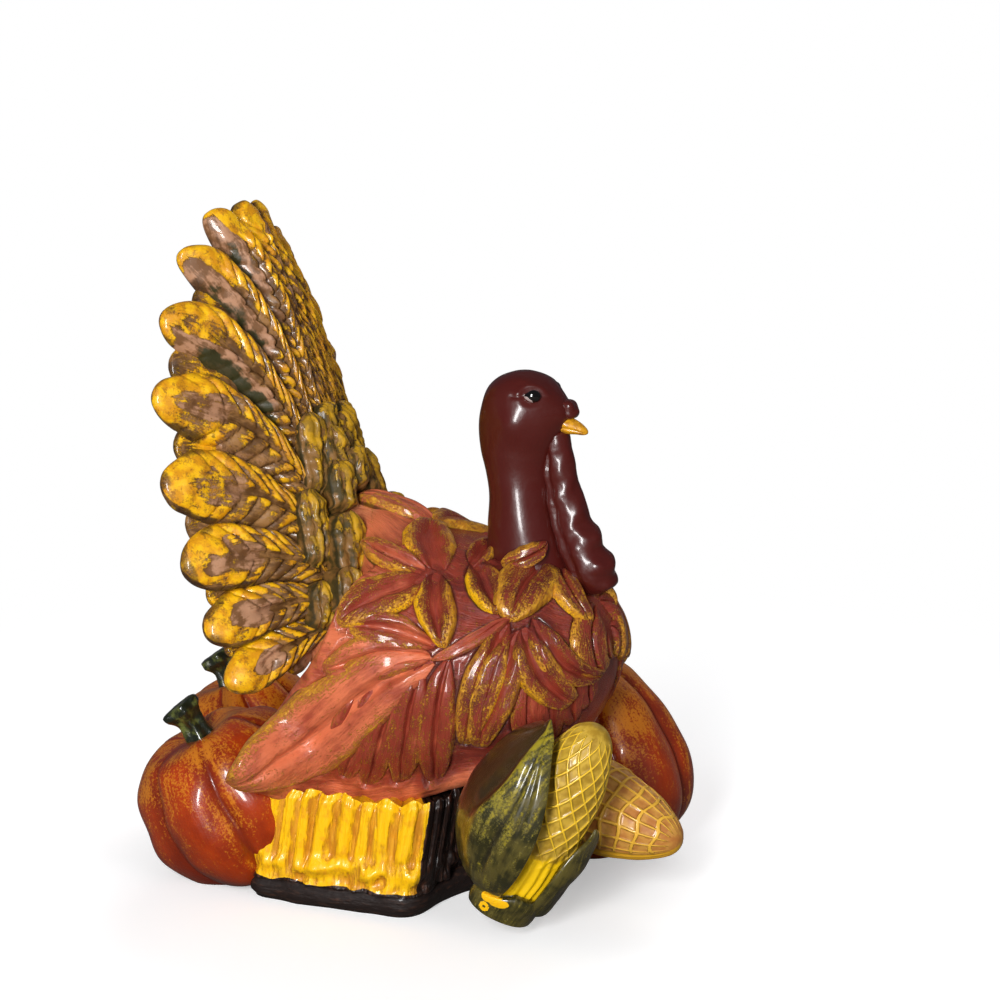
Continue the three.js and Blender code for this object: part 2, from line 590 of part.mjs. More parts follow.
// Stem: a waisted stub out of the dimple, bent toward -X, its rings tipped as it was cut
const STEM_STATIONS = [0, 0.35, 0.7, 1];
function stem(spec) {
  const axis = pumpkinAxis(spec);
  const foot = pumpkinMiddle(spec).addScaledVector(axis, spec.halfHeight - PUMPKIN_DIMPLE - STEM_SINK);
  return loft(STEM_STATIONS.map((share) => {
    const centre = foot.clone().addScaledVector(axis, STEM_LENGTH * share);
    centre.x -= STEM_BEND * share * share;
    const radius = STEM_RADIUS * (1 - STEM_WAIST * Math.sin(0.8 * Math.PI * share));
    return ringAbout(centre, vec(radius, 0, radius * STEM_CUT_SLOPE), vec(0, radius, 0), 7);
  }));
}

// Corn cob: blunt foot, widest part way up, drawn in to a rounded tip
const COB_STATIONS = [0, 0.12, 0.28, 0.45, 0.62, 0.78, 0.9, 1];
function cobRadius(share, radius) {
  const away = share - COB_WIDEST;
  return radius * ovalShare(away / (away < 0 ? COB_FOOT_RUN : COB_TIP_RUN), COB_ROUNDNESS);
}
function cob(foot, direction, length, radius, grow) {
  const sideways = vec(0, 1, 0).cross(direction).normalize();
  const other = direction.clone().cross(sideways);
  return loft(COB_STATIONS.map((share) => {
    const reach = length * share + grow * Math.sign(share - 0.5);
    const size = cobRadius(share, radius) + grow;
    const centre = foot.clone().addScaledVector(direction, reach);
    return ringAbout(centre, sideways.clone().multiplyScalar(size), other.clone().multiplyScalar(size), 12);
  }));
}
const COB_FOOT = vec(COB_X, COB_Y, SLAB_THICKNESS + COB_FOOT_RISE);
const COB_DIRECTION = vec(Math.sin(COB_LEAN), 0, Math.cos(COB_LEAN));
const uprightCob = (grow) => cob(COB_FOOT, COB_DIRECTION, COB_LENGTH, COB_RADIUS, grow);
const SIDE_COB_FOOT = vec(SIDE_COB_X, 0, SIDE_COB_Z);
const SIDE_COB_DIRECTION = vec(0.95, -0.24, -0.19).normalize();
const sideCob = (grow) => cob(SIDE_COB_FOOT, SIDE_COB_DIRECTION, SIDE_COB_LENGTH, SIDE_COB_RADIUS, grow);

// Husk leaf wrapped part way round the upright cob: turn is the middle of the wrap, span its half-width,
// flare how far it stands off the cob at mid-length, tipOut at its tip
const HUSK_STATIONS = [0, 0.18, 0.42, 0.66, 0.86, 1];
const HUSK_ACROSS = [-1, -0.5, 0, 0.5, 1];
const HUSKED_COB = [0.02, 0.9];
function husk({ turn, span, from, to, flare, tipOut }, grow) {
  const sideways = vec(0, 1, 0).cross(COB_DIRECTION).normalize();
  const other = COB_DIRECTION.clone().cross(sideways);
  const rings = HUSK_STATIONS.map((share) => {
    const along = THREE.MathUtils.lerp(from, to, share);
    const width = span * ovalShare((share - HUSK_WIDEST) / HUSK_TAPER, 2);
    const free = Math.max(share - HUSK_SEAT, 0) / (1 - HUSK_SEAT);
    const bulge = flare * Math.sin(Math.PI * free) ** 2 + tipOut * free;
    const inner = cobRadius(THREE.MathUtils.clamp(along, ...HUSKED_COB), COB_RADIUS) + SEAT_GAP + bulge;
    const centre = COB_FOOT.clone().addScaledVector(COB_DIRECTION, COB_LENGTH * along);
    const at = (angle, radius) => centre.clone().addScaledVector(sideways, radius * Math.cos(angle))
      .addScaledVector(other, radius * Math.sin(angle));
    const spread = HUSK_ACROSS.map((across) => turn + across * width);
    const outside = spread.map((angle) => at(angle, inner + HUSK_THICKNESS + grow));
    const inside = spread.toReversed().map((angle) => at(angle, inner - grow));
    return [...outside, ...inside];
  });
  return loft(rings);
}
const OUTER_HUSK = { turn: 3.5, span: 1.25, from: -0.1, to: 0.93, flare: 7, tipOut: 5 };
const INNER_HUSK = { turn: 0.35, span: 0.75, from: 0, to: 0.5, flare: 0.8, tipOut: 0.5 };
const FRONT_HUSK = { turn: -1.0, span: 0.5, from: -0.03, to: 0.26, flare: 0.4, tipOut: 0 };

// One connected shell of triangles: the largest left after cutting, loose slivers dropped
function geometryOf(solid) {
  const { vertProperties, triVerts } = solid.getMesh();
  const owner = Array.from({ length: vertProperties.length / 3 }, (_, i) => i);
  const find = (i) => {
    let root = i;
    while (owner[root] !== root) root = owner[root];
    owner[i] = root;
    return root;
  };
  for (let t = 0; t < triVerts.length; t += 3) {
    owner[find(triVerts[t + 1])] = find(triVerts[t]);
    owner[find(triVerts[t + 2])] = find(triVerts[t]);
  }
  const tally = new Map();
  for (let t = 0; t < triVerts.length; t += 3) {
    const root = find(triVerts[t]);
    tally.set(root, (tally.get(root) ?? 0) + 1);
  }
  const [largest] = [...tally].sort((a, b) => b[1] - a[1])[0];
  const index = Array.from(triVerts).filter((_, i) => find(triVerts[i - (i % 3)]) === largest);
  const geometry = new THREE.BufferGeometry();
  geometry.setAttribute('position', new THREE.BufferAttribute(vertProperties, 3));
  geometry.setIndex(index);
  const shell = geometry.toNonIndexed();
  shell.computeVertexNormals();
  return shell;
}

const figure = new THREE.Group();
figure.name = 'turkey_figure';
function add(name, solid, finish) {
  const mesh = new THREE.Mesh(geometryOf(solid), new THREE.MeshStandardMaterial({ ...finish, metalness: 0 }));
  mesh.name = name;
  figure.add(mesh);
}

// Cutters: each is its piece grown by the seat clearance
const gap = SEAT_GAP;
const slabCut = slab(gap);
const baleCut = bale(gap);
const bodyCut = body(gap);
const neckCut = neckHead(gap);
const beakCut = beak(gap);
const wattleCut = wattle(gap);
const wideGap = 2 * SEAT_GAP;
const plateCuts = join([wingPlate(RIGHT, wideGap), wingPlate(LEFT, wideGap)]);

add('base_slab', slab(0), SLAB_BROWN);
add('hay_bale', cut(bale(0), [bodyCut]), STRAW_YELLOW);
add('body', cut(body(0), [neckSpigot(gap)]), BRICK);

const eyeCuts = [eye(RIGHT, gap), eye(LEFT, gap)];
const neckSolid = cut(neckHead(0), [bodyCut]).add(neckSpigot(0));
add('neck_and_head', cut(neckSolid, eyeCuts), MAROON);
add('eye_right', eye(RIGHT, 0), EYE_BLACK);
add('eye_left', eye(LEFT, 0), EYE_BLACK);
add('beak', cut(beak(0), [neckCut]), BEAK_OCHRE);
add('snood', cut(snood(0), [neckCut, beakCut]), MAROON);
add('wattle', cut(wattle(0), [neckCut, bodyCut, beakCut]), MAROON);

// Wings and breast, right and left alike; each group makes room for those laid before it
const featherCuts = [];
for (const [hand, side] of [[RIGHT, 'right'], [LEFT, 'left']]) {
  const laid = [bodyCut, baleCut, neckCut, wattleCut];
  add(`wing_plate_${side}`, cut(wingPlate(hand, 0), [bodyCut, baleCut, neckCut]), SALMON);
  laid.push(plateCuts);
  const groups = [['primaries', PRIMARIES, SALMON], ['secondaries', SECONDARIES, LEAF_RED],
    ['middle_feathers', MIDDLES, LEAF_RED], ['upper_feathers', UPPERS, LEAF_RED],
    ['shoulder_feathers', SHOULDERS, LEAF_RED], ['breast_feathers', BREASTS, LEAF_RED]];
  for (const [name, leaves, finish] of groups) {
    add(`${name}_${side}`, cut(group(leaves, hand, 0), laid), finish);
    const grown = group(leaves, hand, wideGap);
    laid.push(grown);
    featherCuts.push(grown);
  }
}
const torsoCuts = [bodyCut, plateCuts, ...featherCuts];

// Tail fan
for (let i = 0; i < FEATHER_COUNT; i += 1) {
  add(`tail_feather_${String(i + 1).padStart(2, '0')}`, cut(tailFeather(i), torsoCuts), TAIL_GOLD);
}
for (let i = 0; i < COVERT_COUNT; i += 1) {
  add(`tail_covert_${i + 1}`, cut(covert(i), torsoCuts), COVERT_OLIVE);
}

// Harvest round the bale
const WORK_SPACE = 400;
const workPlan = [[-1, -1], [1, -1], [1, 1], [-1, 1]].map(([a, b]) => [a * WORK_SPACE, b * WORK_SPACE]);
const aboveTable = prism(workPlan, 0, WORK_SPACE);
const cobCut = uprightCob(gap);
const sideCobCut = sideCob(gap);
const harvest = [['near', NEAR_PUMPKIN], ['far', FAR_PUMPKIN], ['front', FRONT_PUMPKIN]];
for (const [name, spec] of harvest) {
  const whole = pumpkin(spec, 0).intersect(aboveTable);
  add(`pumpkin_${name}`, cut(whole, [slabCut, baleCut, ...torsoCuts, sideCobCut]), ORANGE);
  add(`pumpkin_stem_${name}`, cut(stem(spec), [pumpkin(spec, gap), ...torsoCuts]), STEM_GREEN);
}
add('corn_cob_upright', cut(uprightCob(0), [slabCut, ...torsoCuts]), CORN_YELLOW);
add('corn_cob_side', cut(sideCob(0), [slabCut, cobCut, ...torsoCuts]), CORN_YELLOW);
const huskCuts = [slabCut, baleCut, cobCut, sideCobCut, ...torsoCuts];
const laidHusks = [];
for (const [name, spec] of [['outer', OUTER_HUSK], ['inner', INNER_HUSK], ['front', FRONT_HUSK]]) {
  add(`husk_leaf_${name}`, cut(husk(spec, 0).intersect(aboveTable), [...huskCuts, ...laidHusks]), HUSK_GREEN);
  laidHusks.push(husk(spec, gap));
}

export default figure;
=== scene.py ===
"""Hand-painted turkey figure on a hay bale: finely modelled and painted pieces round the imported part."""

import bpy
import numpy as np
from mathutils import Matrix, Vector
from numpy import array, clip, concatenate, cos, hypot, linspace, maximum, minimum, pi, sign, sin, sqrt, where
from numpy.linalg import norm

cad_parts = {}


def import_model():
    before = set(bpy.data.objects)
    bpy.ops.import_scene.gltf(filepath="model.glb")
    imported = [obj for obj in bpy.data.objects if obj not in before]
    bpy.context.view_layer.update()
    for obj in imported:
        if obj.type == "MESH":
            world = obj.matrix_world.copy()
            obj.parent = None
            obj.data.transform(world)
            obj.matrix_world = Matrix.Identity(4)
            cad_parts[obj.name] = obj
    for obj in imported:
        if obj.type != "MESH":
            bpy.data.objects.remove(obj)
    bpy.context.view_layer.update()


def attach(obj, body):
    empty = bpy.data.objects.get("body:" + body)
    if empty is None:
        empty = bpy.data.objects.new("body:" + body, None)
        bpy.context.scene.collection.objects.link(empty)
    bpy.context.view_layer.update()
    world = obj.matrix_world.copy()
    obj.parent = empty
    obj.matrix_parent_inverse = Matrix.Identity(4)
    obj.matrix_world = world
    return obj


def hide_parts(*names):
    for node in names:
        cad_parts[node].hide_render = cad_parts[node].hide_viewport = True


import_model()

MM = 0.001
RIGHT = -1
LEFT = 1

# Driving sizes in millimetres, as in the part
BALE_LENGTH, BALE_WIDTH, BALE_HEIGHT = 52, 84, 26
BALE_MID_X = -7
SLAB_TOP = 6.5
BALE_BOTTOM = 6.8
BALE_TOP = BALE_BOTTOM + BALE_HEIGHT
BALE_LEAN = 0.17
BODY_HALF_LENGTH, BODY_HALF_WIDTH, BODY_HALF_HEIGHT = 45, 37, 32.5
BODY_MID_X = 12
BODY_MID_Z = BALE_TOP + 33.2
WING_HALF_SPREAD, WING_HALF_HEIGHT, WING_FLARE = 41, 50, 27
FLARE_DIRECTION = (0.37, 0.91, 0.21)
FLANK_RADIUS = 36
NECK_X, NECK_RADIUS, NECK_LENGTH = 29.5, 9.3, 30
NECK_TOP = BODY_MID_Z + BODY_HALF_HEIGHT - 3
HEAD_BASE = NECK_TOP + NECK_LENGTH
HEAD_X = NECK_X + 1.5
HEAD_HALF_LENGTH, HEAD_HALF_WIDTH, HEAD_HEIGHT = 12, 10.4, 19
EYE = array([HEAD_X + 5.6, HEAD_HALF_WIDTH * 0.8, HEAD_BASE + HEAD_HEIGHT * 0.76])
BEAK_ROOT_X = HEAD_X + HEAD_HALF_LENGTH - 3
BEAK_Z = HEAD_BASE + HEAD_HEIGHT * 0.25
FAN_FOCUS_X, FAN_FOCUS_Z = -12.5, BODY_MID_Z - 4
FAN_LEAN, FAN_SWEEP, FAN_CURL, FAN_CURL_START, FAN_RIDGE = 0.3, 0.48, 0.0024, 80, 12
FAN_REACH, FAN_SIDE_LOSS = 126, 73
FEATHER_COUNT = 17
COVERT_COUNT = 7
COB_FOOT = array([40, -37, SLAB_TOP + 4])
COB_DIRECTION = array([sin(0.5), 0, cos(0.5)])
COB_LENGTH, COB_RADIUS = 56, 11
DRIP_X, DRIP_Z = 41.7, 13.3
SIDE_COB_FOOT = array([44, 0, 27.5])
SIDE_COB_DIRECTION = array([0.95, -0.24, -0.19])
SIDE_COB_LENGTH, SIDE_COB_RADIUS = 38, 13.5


# Shape helpers

def lerp(a, b, share):
    """Straight blend from a to b."""
    return a + (b - a) * share


def smooth(start, end, value):
    """Smooth step from 0 at start to 1 at end."""
    share = clip((value - start) / (end - start), 0, 1)
    return share * share * (3 - 2 * share)


def oval(share, power=2.0):
    """Half-width of an oval at a share of its half-length."""
    return sqrt(maximum(1 - abs(share) ** power, 0))


def bump(value, width):
    """Bell of height 1 round zero."""
    return np.exp(-(value / width) ** 2)


def xyz(x, y, z):
    """Points from their three coordinates, stretched to one shape."""
    return np.stack(np.broadcast_arrays(x, y, z), -1)


def column(start, end, count):
    """Evenly spaced values, one for each row of a skin."""
    return linspace(start, end, count)[:, None]


def even_rows(count):
    """Shares 0 to 1, one for each row of a skin, drawn closer at both ends."""
    return 0.5 - 0.5 * cos(pi * column(0.012, 0.988, count))


def around(count):
    """Angles once round, one for each column of a skin."""
    return linspace(0, 2 * pi, count, endpoint=False)[None, :]


def pad_columns(top, low):
    """Columns once round a flat pad: across runs -1 to 1 over the top and back below; upper marks the top."""
    over = -cos(pi * np.arange(top + 1) / top)
    under = cos(pi * np.arange(1, low) / low)
    upper = concatenate([np.ones(top + 1), np.zeros(low - 1)])
    return concatenate([over, under])[None, :], upper[None, :]


def spokes(radius, turn, first, second):
    """Offsets of that radius at each turn, in the plane of two directions."""
    return (radius * cos(turn))[..., None] * first + (radius * sin(turn))[..., None] * second


def wobble(points, size, seed):
    """Smooth unevenness about that size: the mean of a few sine waves in seeded directions."""
    random = np.random.default_rng(seed)
    waves = random.normal(size=(3, 9))
    waves *= 2 * pi / size / norm(waves, axis=0)
    return 1.6 * sin(points @ waves + random.uniform(0, 2 * pi, 9)).mean(-1)


def uneven(points, amount, size, seed):
    """Points pushed about by three independent wobbles, as hand modelling leaves a surface."""
    push = [wobble(points, size, seed + axis) for axis in range(3)]
    return points + amount * np.stack(push, -1)


def spline(rows, share):
    """Smooth curve through evenly spaced rows: cubic pieces whose slopes are half the neighbours' span."""
    rows = array(rows, float)
    place = clip(share, 0, 1) * (len(rows) - 1)
    low = minimum(place.astype(int), len(rows) - 2)
    f = (place - low)[..., None]
    before, after = rows[maximum(low - 1, 0)], rows[minimum(low + 2, len(rows) - 1)]
    a, b = rows[low], rows[low + 1]
    slope_a, slope_b = (b - before) / 2, (after - a) / 2
    return (a + slope_a * f + (3 * (b - a) - 2 * slope_a - slope_b) * f ** 2
            + (2 * (a - b) + slope_a + slope_b) * f ** 3)


def frame_about(direction):
    """Unit vectors along a direction, level across it from Y crossed into it, and at right angles to both."""
    along = array(direction, float) / norm(direction)
    sideways = np.cross([0, 1, 0], along)
    sideways /= norm(sideways)
    return along, sideways, np.cross(along, sideways)


def brush(along, across, seed=0):
    """Masks that lay the brush strokes: millimetres along and across a piece, and a number all its own."""
    return {"along": along, "across": across, "seed": seed}


def skin_faces(rows, columns, first):
    """Quads of a tube of rows by columns, and a fan of triangles to a hub at each end."""
    index = first + np.arange(rows * columns).reshape(rows, columns)
    right = np.roll(index, -1, axis=1)
    quads = np.stack([index[:-1], right[:-1], right[1:], index[1:]], -1).reshape(-1, 4)
    hubs = first + rows * columns + np.arange(2)
    start = np.stack([np.full(columns, hubs[0]), right[0], index[0]], -1)
    end = np.stack([np.full(columns, hubs[1]), index[-1], right[-1]], -1)
    return quads, concatenate([start, end])


def piece(name, skins, finish, *nodes, slot):
    """One object from closed tubes of points in millimetres, each with its masks; it stands for CAD nodes.
    A tube whose signed volume is negative is turned inside out."""
    verts, quads, tris, values, first = [], [], [], {}, 0
    for points, masks in skins:
        rows, columns = points.shape[:2]
        verts.append(concatenate([points.reshape(-1, 3), points[[0, -1]].mean(1)]))
        four, three = skin_faces(rows, columns, first)
        a, b, c, d = (verts[-1][four[:, k] - first] for k in range(4))
        if (a * (np.cross(b, c) + np.cross(c, d))).sum() < 0:
            four, three = four[:, ::-1], three[:, ::-1]
        quads.append(four)
        tris.append(three)
        for key, mask in masks.items():
            mask = np.broadcast_to(mask, (rows, columns))
            values.setdefault(key, []).append(concatenate([mask.ravel(), mask[[0, -1]].mean(1)]))
        first += len(verts[-1])
    verts, quads, tris = concatenate(verts) * MM, concatenate(quads), concatenate(tris)
    corners = concatenate([quads.ravel(), tris.ravel()])
    starts = concatenate([np.arange(len(quads)) * 4, len(quads) * 4 + np.arange(len(tris)) * 3])
    mesh = bpy.data.meshes.new(name)
    mesh.vertices.add(len(verts))
    mesh.vertices.foreach_set("co", verts.astype(np.float32).ravel())
    mesh.loops.add(len(corners))
    mesh.loops.foreach_set("vertex_index", corners.astype(np.int32))
    mesh.polygons.add(len(starts))
    mesh.polygons.foreach_set("loop_start", starts.astype(np.int32))
    mesh.polygons.foreach_set("use_smooth", np.ones(len(starts), bool))
    for key, parts in values.items():
        layer = mesh.attributes.new(key, "FLOAT", "POINT")
        layer.data.foreach_set("value", concatenate(parts).astype(np.float32))
    mesh.update(calc_edges=True)
    mesh.validate()
    mesh.materials.append(finish)
    thing = bpy.data.objects.new(name, mesh)
    bpy.context.scene.collection.objects.link(thing)
    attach(thing, "root")
    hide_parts(*nodes)


# Paint helpers

def tint(red, green, blue):
    """Linear colour from the eight-bit screen colour."""
    share = array([red, green, blue]) / 255
    linear = where(share > 0.04045, ((share + 0.055) / 1.055) ** 2.4, share / 12.92)
    return (*linear.tolist(), 1.0)


class Paint:
    """A socket of a material's node tree; sums and products of sockets add Math nodes."""

    def __init__(self, tree, socket=None):
        self.tree = tree
        self.socket = socket

    def add(self, kind, settings=None, sockets=None, out=0):
        """Adds a node, makes its settings, then sets or links its sockets, and gives one of its outputs."""
        node = self.tree.nodes.new(kind)
        for key, value in (settings or {}).items():
            setattr(node, key, value)
        for key, value in (sockets or {}).items():
            if isinstance(value, Paint):
                self.tree.links.new(value.socket, node.inputs[key])
            else:
                node.inputs[key].default_value = value
        return Paint(self.tree, node.outputs[out])

    def into(self, node, name):
        """Links this socket to an input of a node."""
        self.tree.links.new(self.socket, node.inputs[name])

    def math(self, operation, *values):
        """Sum, difference or product of two values."""
        return self.add("ShaderNodeMath", {"operation": operation}, dict(enumerate(values)))

    def __add__(self, other):
        return self.math("ADD", self, other)

    def __sub__(self, other):
        return self.math("SUBTRACT", self, other)

    def __rsub__(self, other):
        return self.math("SUBTRACT", other, self)

    def __mul__(self, other):
        return self.math("MULTIPLY", self, other)

    __radd__ = __add__
    __rmul__ = __mul__

    def mask(self, name):
        """A mask that the piece carries."""
        return self.add("ShaderNodeAttribute", {"attribute_name": name}, out="Fac")

    def place(self):
        """Place on the piece, in metres."""
        return self.add("ShaderNodeTexCoord", out="Object")

    def noise(self, size, detail=3.0, roughness=0.55, stretch=None):
        """Soft noise of that grain in millimetres, about one half; stretch gives it three grains."""
        scale = [1 / (MM * grain) for grain in (stretch or (size,) * 3)]
        grain = self.add("ShaderNodeMapping", {}, {"Vector": self.place(), "Scale": scale})
        return self.add("ShaderNodeTexNoise", {}, {
            "Vector": grain, "Scale": 1.0, "Detail": detail, "Roughness": roughness})

    def streaks(self, long, fine):
        """Noise drawn out along the piece's own length, from its along and across masks in millimetres."""
        flow = self.add("ShaderNodeCombineXYZ", {}, {
            0: self.mask("along") * (1 / long), 1: self.mask("across") * (1 / fine), 2: self.mask("seed")})
        return self.add("ShaderNodeTexNoise", {}, {
            "Vector": flow, "Scale": 1.0, "Detail": 3.0, "Roughness": 0.6})

    def about(self, amount):
        """This noise taken to lie about zero, times an amount."""
        return (self - 0.5) * amount

    def stray(self, amount, size, detail=3.0):
        """Soft noise of that grain about zero, times an amount."""
        return self.noise(size, detail).about(amount)

    def band(self, value, low, high, most=1.0):
        """Smooth step of a value from 0 at low to most at high."""
        return self.add("ShaderNodeMapRange", {"interpolation_type": "SMOOTHSTEP"}, {
            "Value": value, "From Min": low, "From Max": high, "To Max": most})

    def mix(self, share, first, second):
        """Blend of two colours."""
        return self.add("ShaderNodeMix", {"data_type": "RGBA"}, {0: share, 6: first, 7: second}, out=2)

    def blend(self, value, low, high, first, second, most=1.0):
        """Colour that goes from first to second as a value goes from low to high, as far as most."""
        return self.mix(self.band(value, low, high, most), first, second)


def finish(name, colour, relief=0.00025, gloss=0.5, roughness=0.38, coat_roughness=0.12):
    """A varnished paint: colour(paint) gives the base colour and the height of the brush marks, to which a
    fine grain is added; the roughness strays a little about its value."""
    material = bpy.data.materials.new(name)
    material.use_nodes = True
    shader = material.node_tree.nodes["Principled BSDF"]
    paint = Paint(material.node_tree)
    base, height = colour(paint)
    base.into(shader, "Base Color")
    height = height + paint.noise(1.6, 4.0) * 0.35
    marks = paint.add("ShaderNodeBump", {}, {"Strength": 1.0, "Distance": relief, "Height": height})
    marks.into(shader, "Normal")
    (paint.stray(0.2, 4.0) + roughness).into(shader, "Roughness")
    shader.inputs["Specular IOR Level"].default_value = 0.35
    shader.inputs["Coat Weight"].default_value = gloss
    shader.inputs["Coat Roughness"].default_value = coat_roughness
    return material


# Colours of the body, wings and head
BURGUNDY = tint(98, 34, 30)
BRICK = tint(142, 54, 38)
SALMON = tint(212, 112, 74)
PEACH_AND_HIGHLIGHT = tint(234, 154, 108)
GOLD = tint(212, 154, 36)
OCHRE = tint(182, 122, 34)
YELLOW = tint(240, 182, 12)
CREVICE_SHADE = tint(46, 16, 14)
MAROON = tint(74, 18, 16)
LIVER = tint(72, 22, 15)
EYE_BLACK = tint(10, 8, 8)
EYE_PALE = tint(176, 156, 152)
BEAK_YELLOW = tint(212, 150, 22)
BEAK_BROWN = tint(168, 110, 20)

# Colours of the tail
BARK = tint(96, 64, 32)
TAN = tint(150, 108, 62)
ROSE = tint(176, 130, 98)
COCOA = tint(118, 80, 48)
DEEP_YELLOW = tint(212, 144, 12)
DULL_YELLOW = tint(166, 112, 26)
WORN_YELLOW = tint(146, 94, 26)
UMBER_SHADE = tint(58, 38, 22)
MOSS = tint(40, 46, 20)
HAZEL = tint(132, 94, 46)
OLIVE = tint(72, 58, 22)
OLIVE_YELLOW = tint(196, 148, 18)
MUSTARD = tint(148, 112, 24)
OLIVE_SHADE = tint(48, 42, 18)

# Colours of the pumpkins, bale and slab
ORANGE = tint(164, 54, 10)
EMBER = tint(136, 40, 8)
RUST_SHADE = tint(96, 26, 8)
AMBER = tint(206, 126, 26)
PINE = tint(24, 30, 18)
LICHEN = tint(92, 98, 44)
SHADED_STRAW = tint(190, 122, 24)
STRAW = tint(224, 160, 36)
BRIGHT_STRAW = tint(246, 188, 8)
HONEY = tint(222, 146, 18)
PITCH = tint(30, 19, 16)
WORN_END = tint(82, 50, 36)
WORN_SLAB = tint(70, 44, 32)

# Colours of the husk, and of each cob: two for the cells, the lattice and the bare part
HUSK_DARK = tint(42, 40, 15)
HUSK_GREEN = tint(84, 75, 32)
SCUMBLE_GREEN = tint(108, 102, 34)
SCUMBLE_YELLOW = tint(176, 156, 30)
HUSK_FACET_SHADE = tint(46, 35, 16)
HUSK_GROOVE_SHADE = tint(28, 24, 12)
CORN = (tint(160, 124, 34), tint(196, 160, 56), tint(234, 190, 48), tint(240, 194, 18))
SIDE_CORN = (tint(176, 112, 52), tint(200, 146, 66), tint(228, 176, 56), tint(214, 160, 34))


def plumage_colour(paint):
    """Burgundy to salmon by the tone mask and on to peach that is partly a painted highlight, gold rubbed
    over the vanes in specks, yellow on the gilt rims brightened as a painted highlight on their lit side, and
    painted shade in the creases."""
    drag = paint.streaks(12.0, 1.8)
    tone = paint.mask("tone") + paint.stray(0.7, 9.0, 4.0) + drag.about(0.7)
    base = paint.blend(tone, 0.0, 0.42, BURGUNDY, BRICK)
    base = paint.blend(tone, 0.42, 0.85, base, SALMON)
    # Peach tone, partly a painted highlight on the palest salmon.
    base = paint.blend(tone, 0.9, 1.25, base, PEACH_AND_HIGHLIGHT, 0.7)
    stroke = paint.streaks(4.0, 0.5)
    speck = paint.noise(0.45, 5.0, 0.75)
    cover = paint.mask("gold") + paint.stray(1.0, 3.5)
    dry = paint.band(speck + stroke.about(0.4) + cover * 0.3, 0.63, 0.74)
    rubbed = paint.blend(paint.noise(1.5), 0.42, 0.6, OCHRE, GOLD)
    base = paint.mix(dry * 0.92, base, rubbed)
    # Yellow gilt on the rims, brightened as a painted highlight on the lit side.
    bright = paint.mask("gilt_and_highlight") + paint.stray(0.8, 1.8) + speck.about(1.6)
    base = paint.blend(bright, 0.5, 0.72, base, YELLOW, 0.95)
    # Painted shade: dark crevice colour laid down each leaf's valley, round its rim and round its foot.
    deep = paint.mask("crease_and_shade") + paint.stray(0.3, 2.0)
    base = paint.blend(deep, 0.4, 1.0, base, CREVICE_SHADE, 0.8)
    return base, stroke * 0.9 + dry * 0.4 + drag * 0.8


def fan_colour(paint):
    """Tan and brown feathers, rosy in bare patches, yellow broken over strands and domed tips, dark umber in
    the creases as wash and painted shade, a painted shadow along some lower edges, darker patches on some
    tip rims, and moss in some gaps."""
    stroke = paint.streaks(5.0, 1.0)
    speck = paint.noise(0.6, 5.0, 0.72)
    base = paint.blend(paint.noise(5.0, 4.0) + stroke.about(0.6), 0.4, 0.62, BARK, TAN)
    rosy = paint.blend(paint.noise(4.0, 5.0) + stroke.about(0.5), 0.42, 0.58, ROSE, COCOA)
    base = paint.blend(paint.mask("blush") + speck.about(0.7), 0.35, 0.6, base, rosy)
    cover = paint.mask("gold") + paint.stray(1.3, 6.0) + stroke.about(0.8)
    lit = paint.band(cover + speck.about(0.9), 0.42, 0.6)
    yellow = paint.blend(paint.noise(3.0), 0.4, 0.62, DEEP_YELLOW, YELLOW)
    yellow = paint.mix(paint.mask("dull") * 0.75, yellow, DULL_YELLOW)
    yellow = paint.blend(speck + paint.stray(1.0, 2.5), 0.52, 0.72, yellow, WORN_YELLOW, 0.75)
    base = paint.mix(lit, base, yellow)
    # Dark umber from the crease mask: wash and painted shade in the creases, the painted lower-edge shadow
    # and darker patches on tip rims.
    base = paint.blend(paint.mask("crease_and_shade") + speck.about(0.6), 0.35, 0.9, base, UMBER_SHADE, 0.9)
    green = paint.mask("moss") + paint.stray(1.2, 3.0) + stroke.about(0.7)
    base = paint.blend(green, 0.4, 0.75, base, MOSS, 0.92)
    return base, stroke * 0.5 + lit * 0.7 + speck * 0.4


def covert_colour(paint):
    """Olive and hazel brown thumbs with yellow dragged along them and dark olive in the gaps."""
    stroke = paint.streaks(6.0, 0.8)
    speck = paint.noise(0.6, 5.0, 0.72)
    base = paint.blend(paint.noise(4.0) + stroke.about(0.6), 0.4, 0.62, HAZEL, OLIVE)
    cover = paint.mask("gold") + stroke.about(1.2) + paint.stray(1.2, 3.5)
    dry = paint.band(cover + speck.about(1.0), 0.4, 0.62)
    yellow = paint.blend(paint.noise(3.0), 0.4, 0.6, OLIVE_YELLOW, MUSTARD)
    base = paint.mix(dry * 0.95, base, yellow)
    deep = paint.mask("crease_and_shade") + paint.stray(0.7, 2.0)
    base = paint.blend(deep, 0.5, 1.0, base, OLIVE_SHADE, 0.9)
    return base, stroke * 0.8 + dry * 0.6 + speck * 0.4


def flesh_colour(paint):
    """Deep maroon with a browner cast in patches."""
    return paint.mix(paint.noise(9.0), MAROON, LIVER), paint.noise(2.5) * 0.4


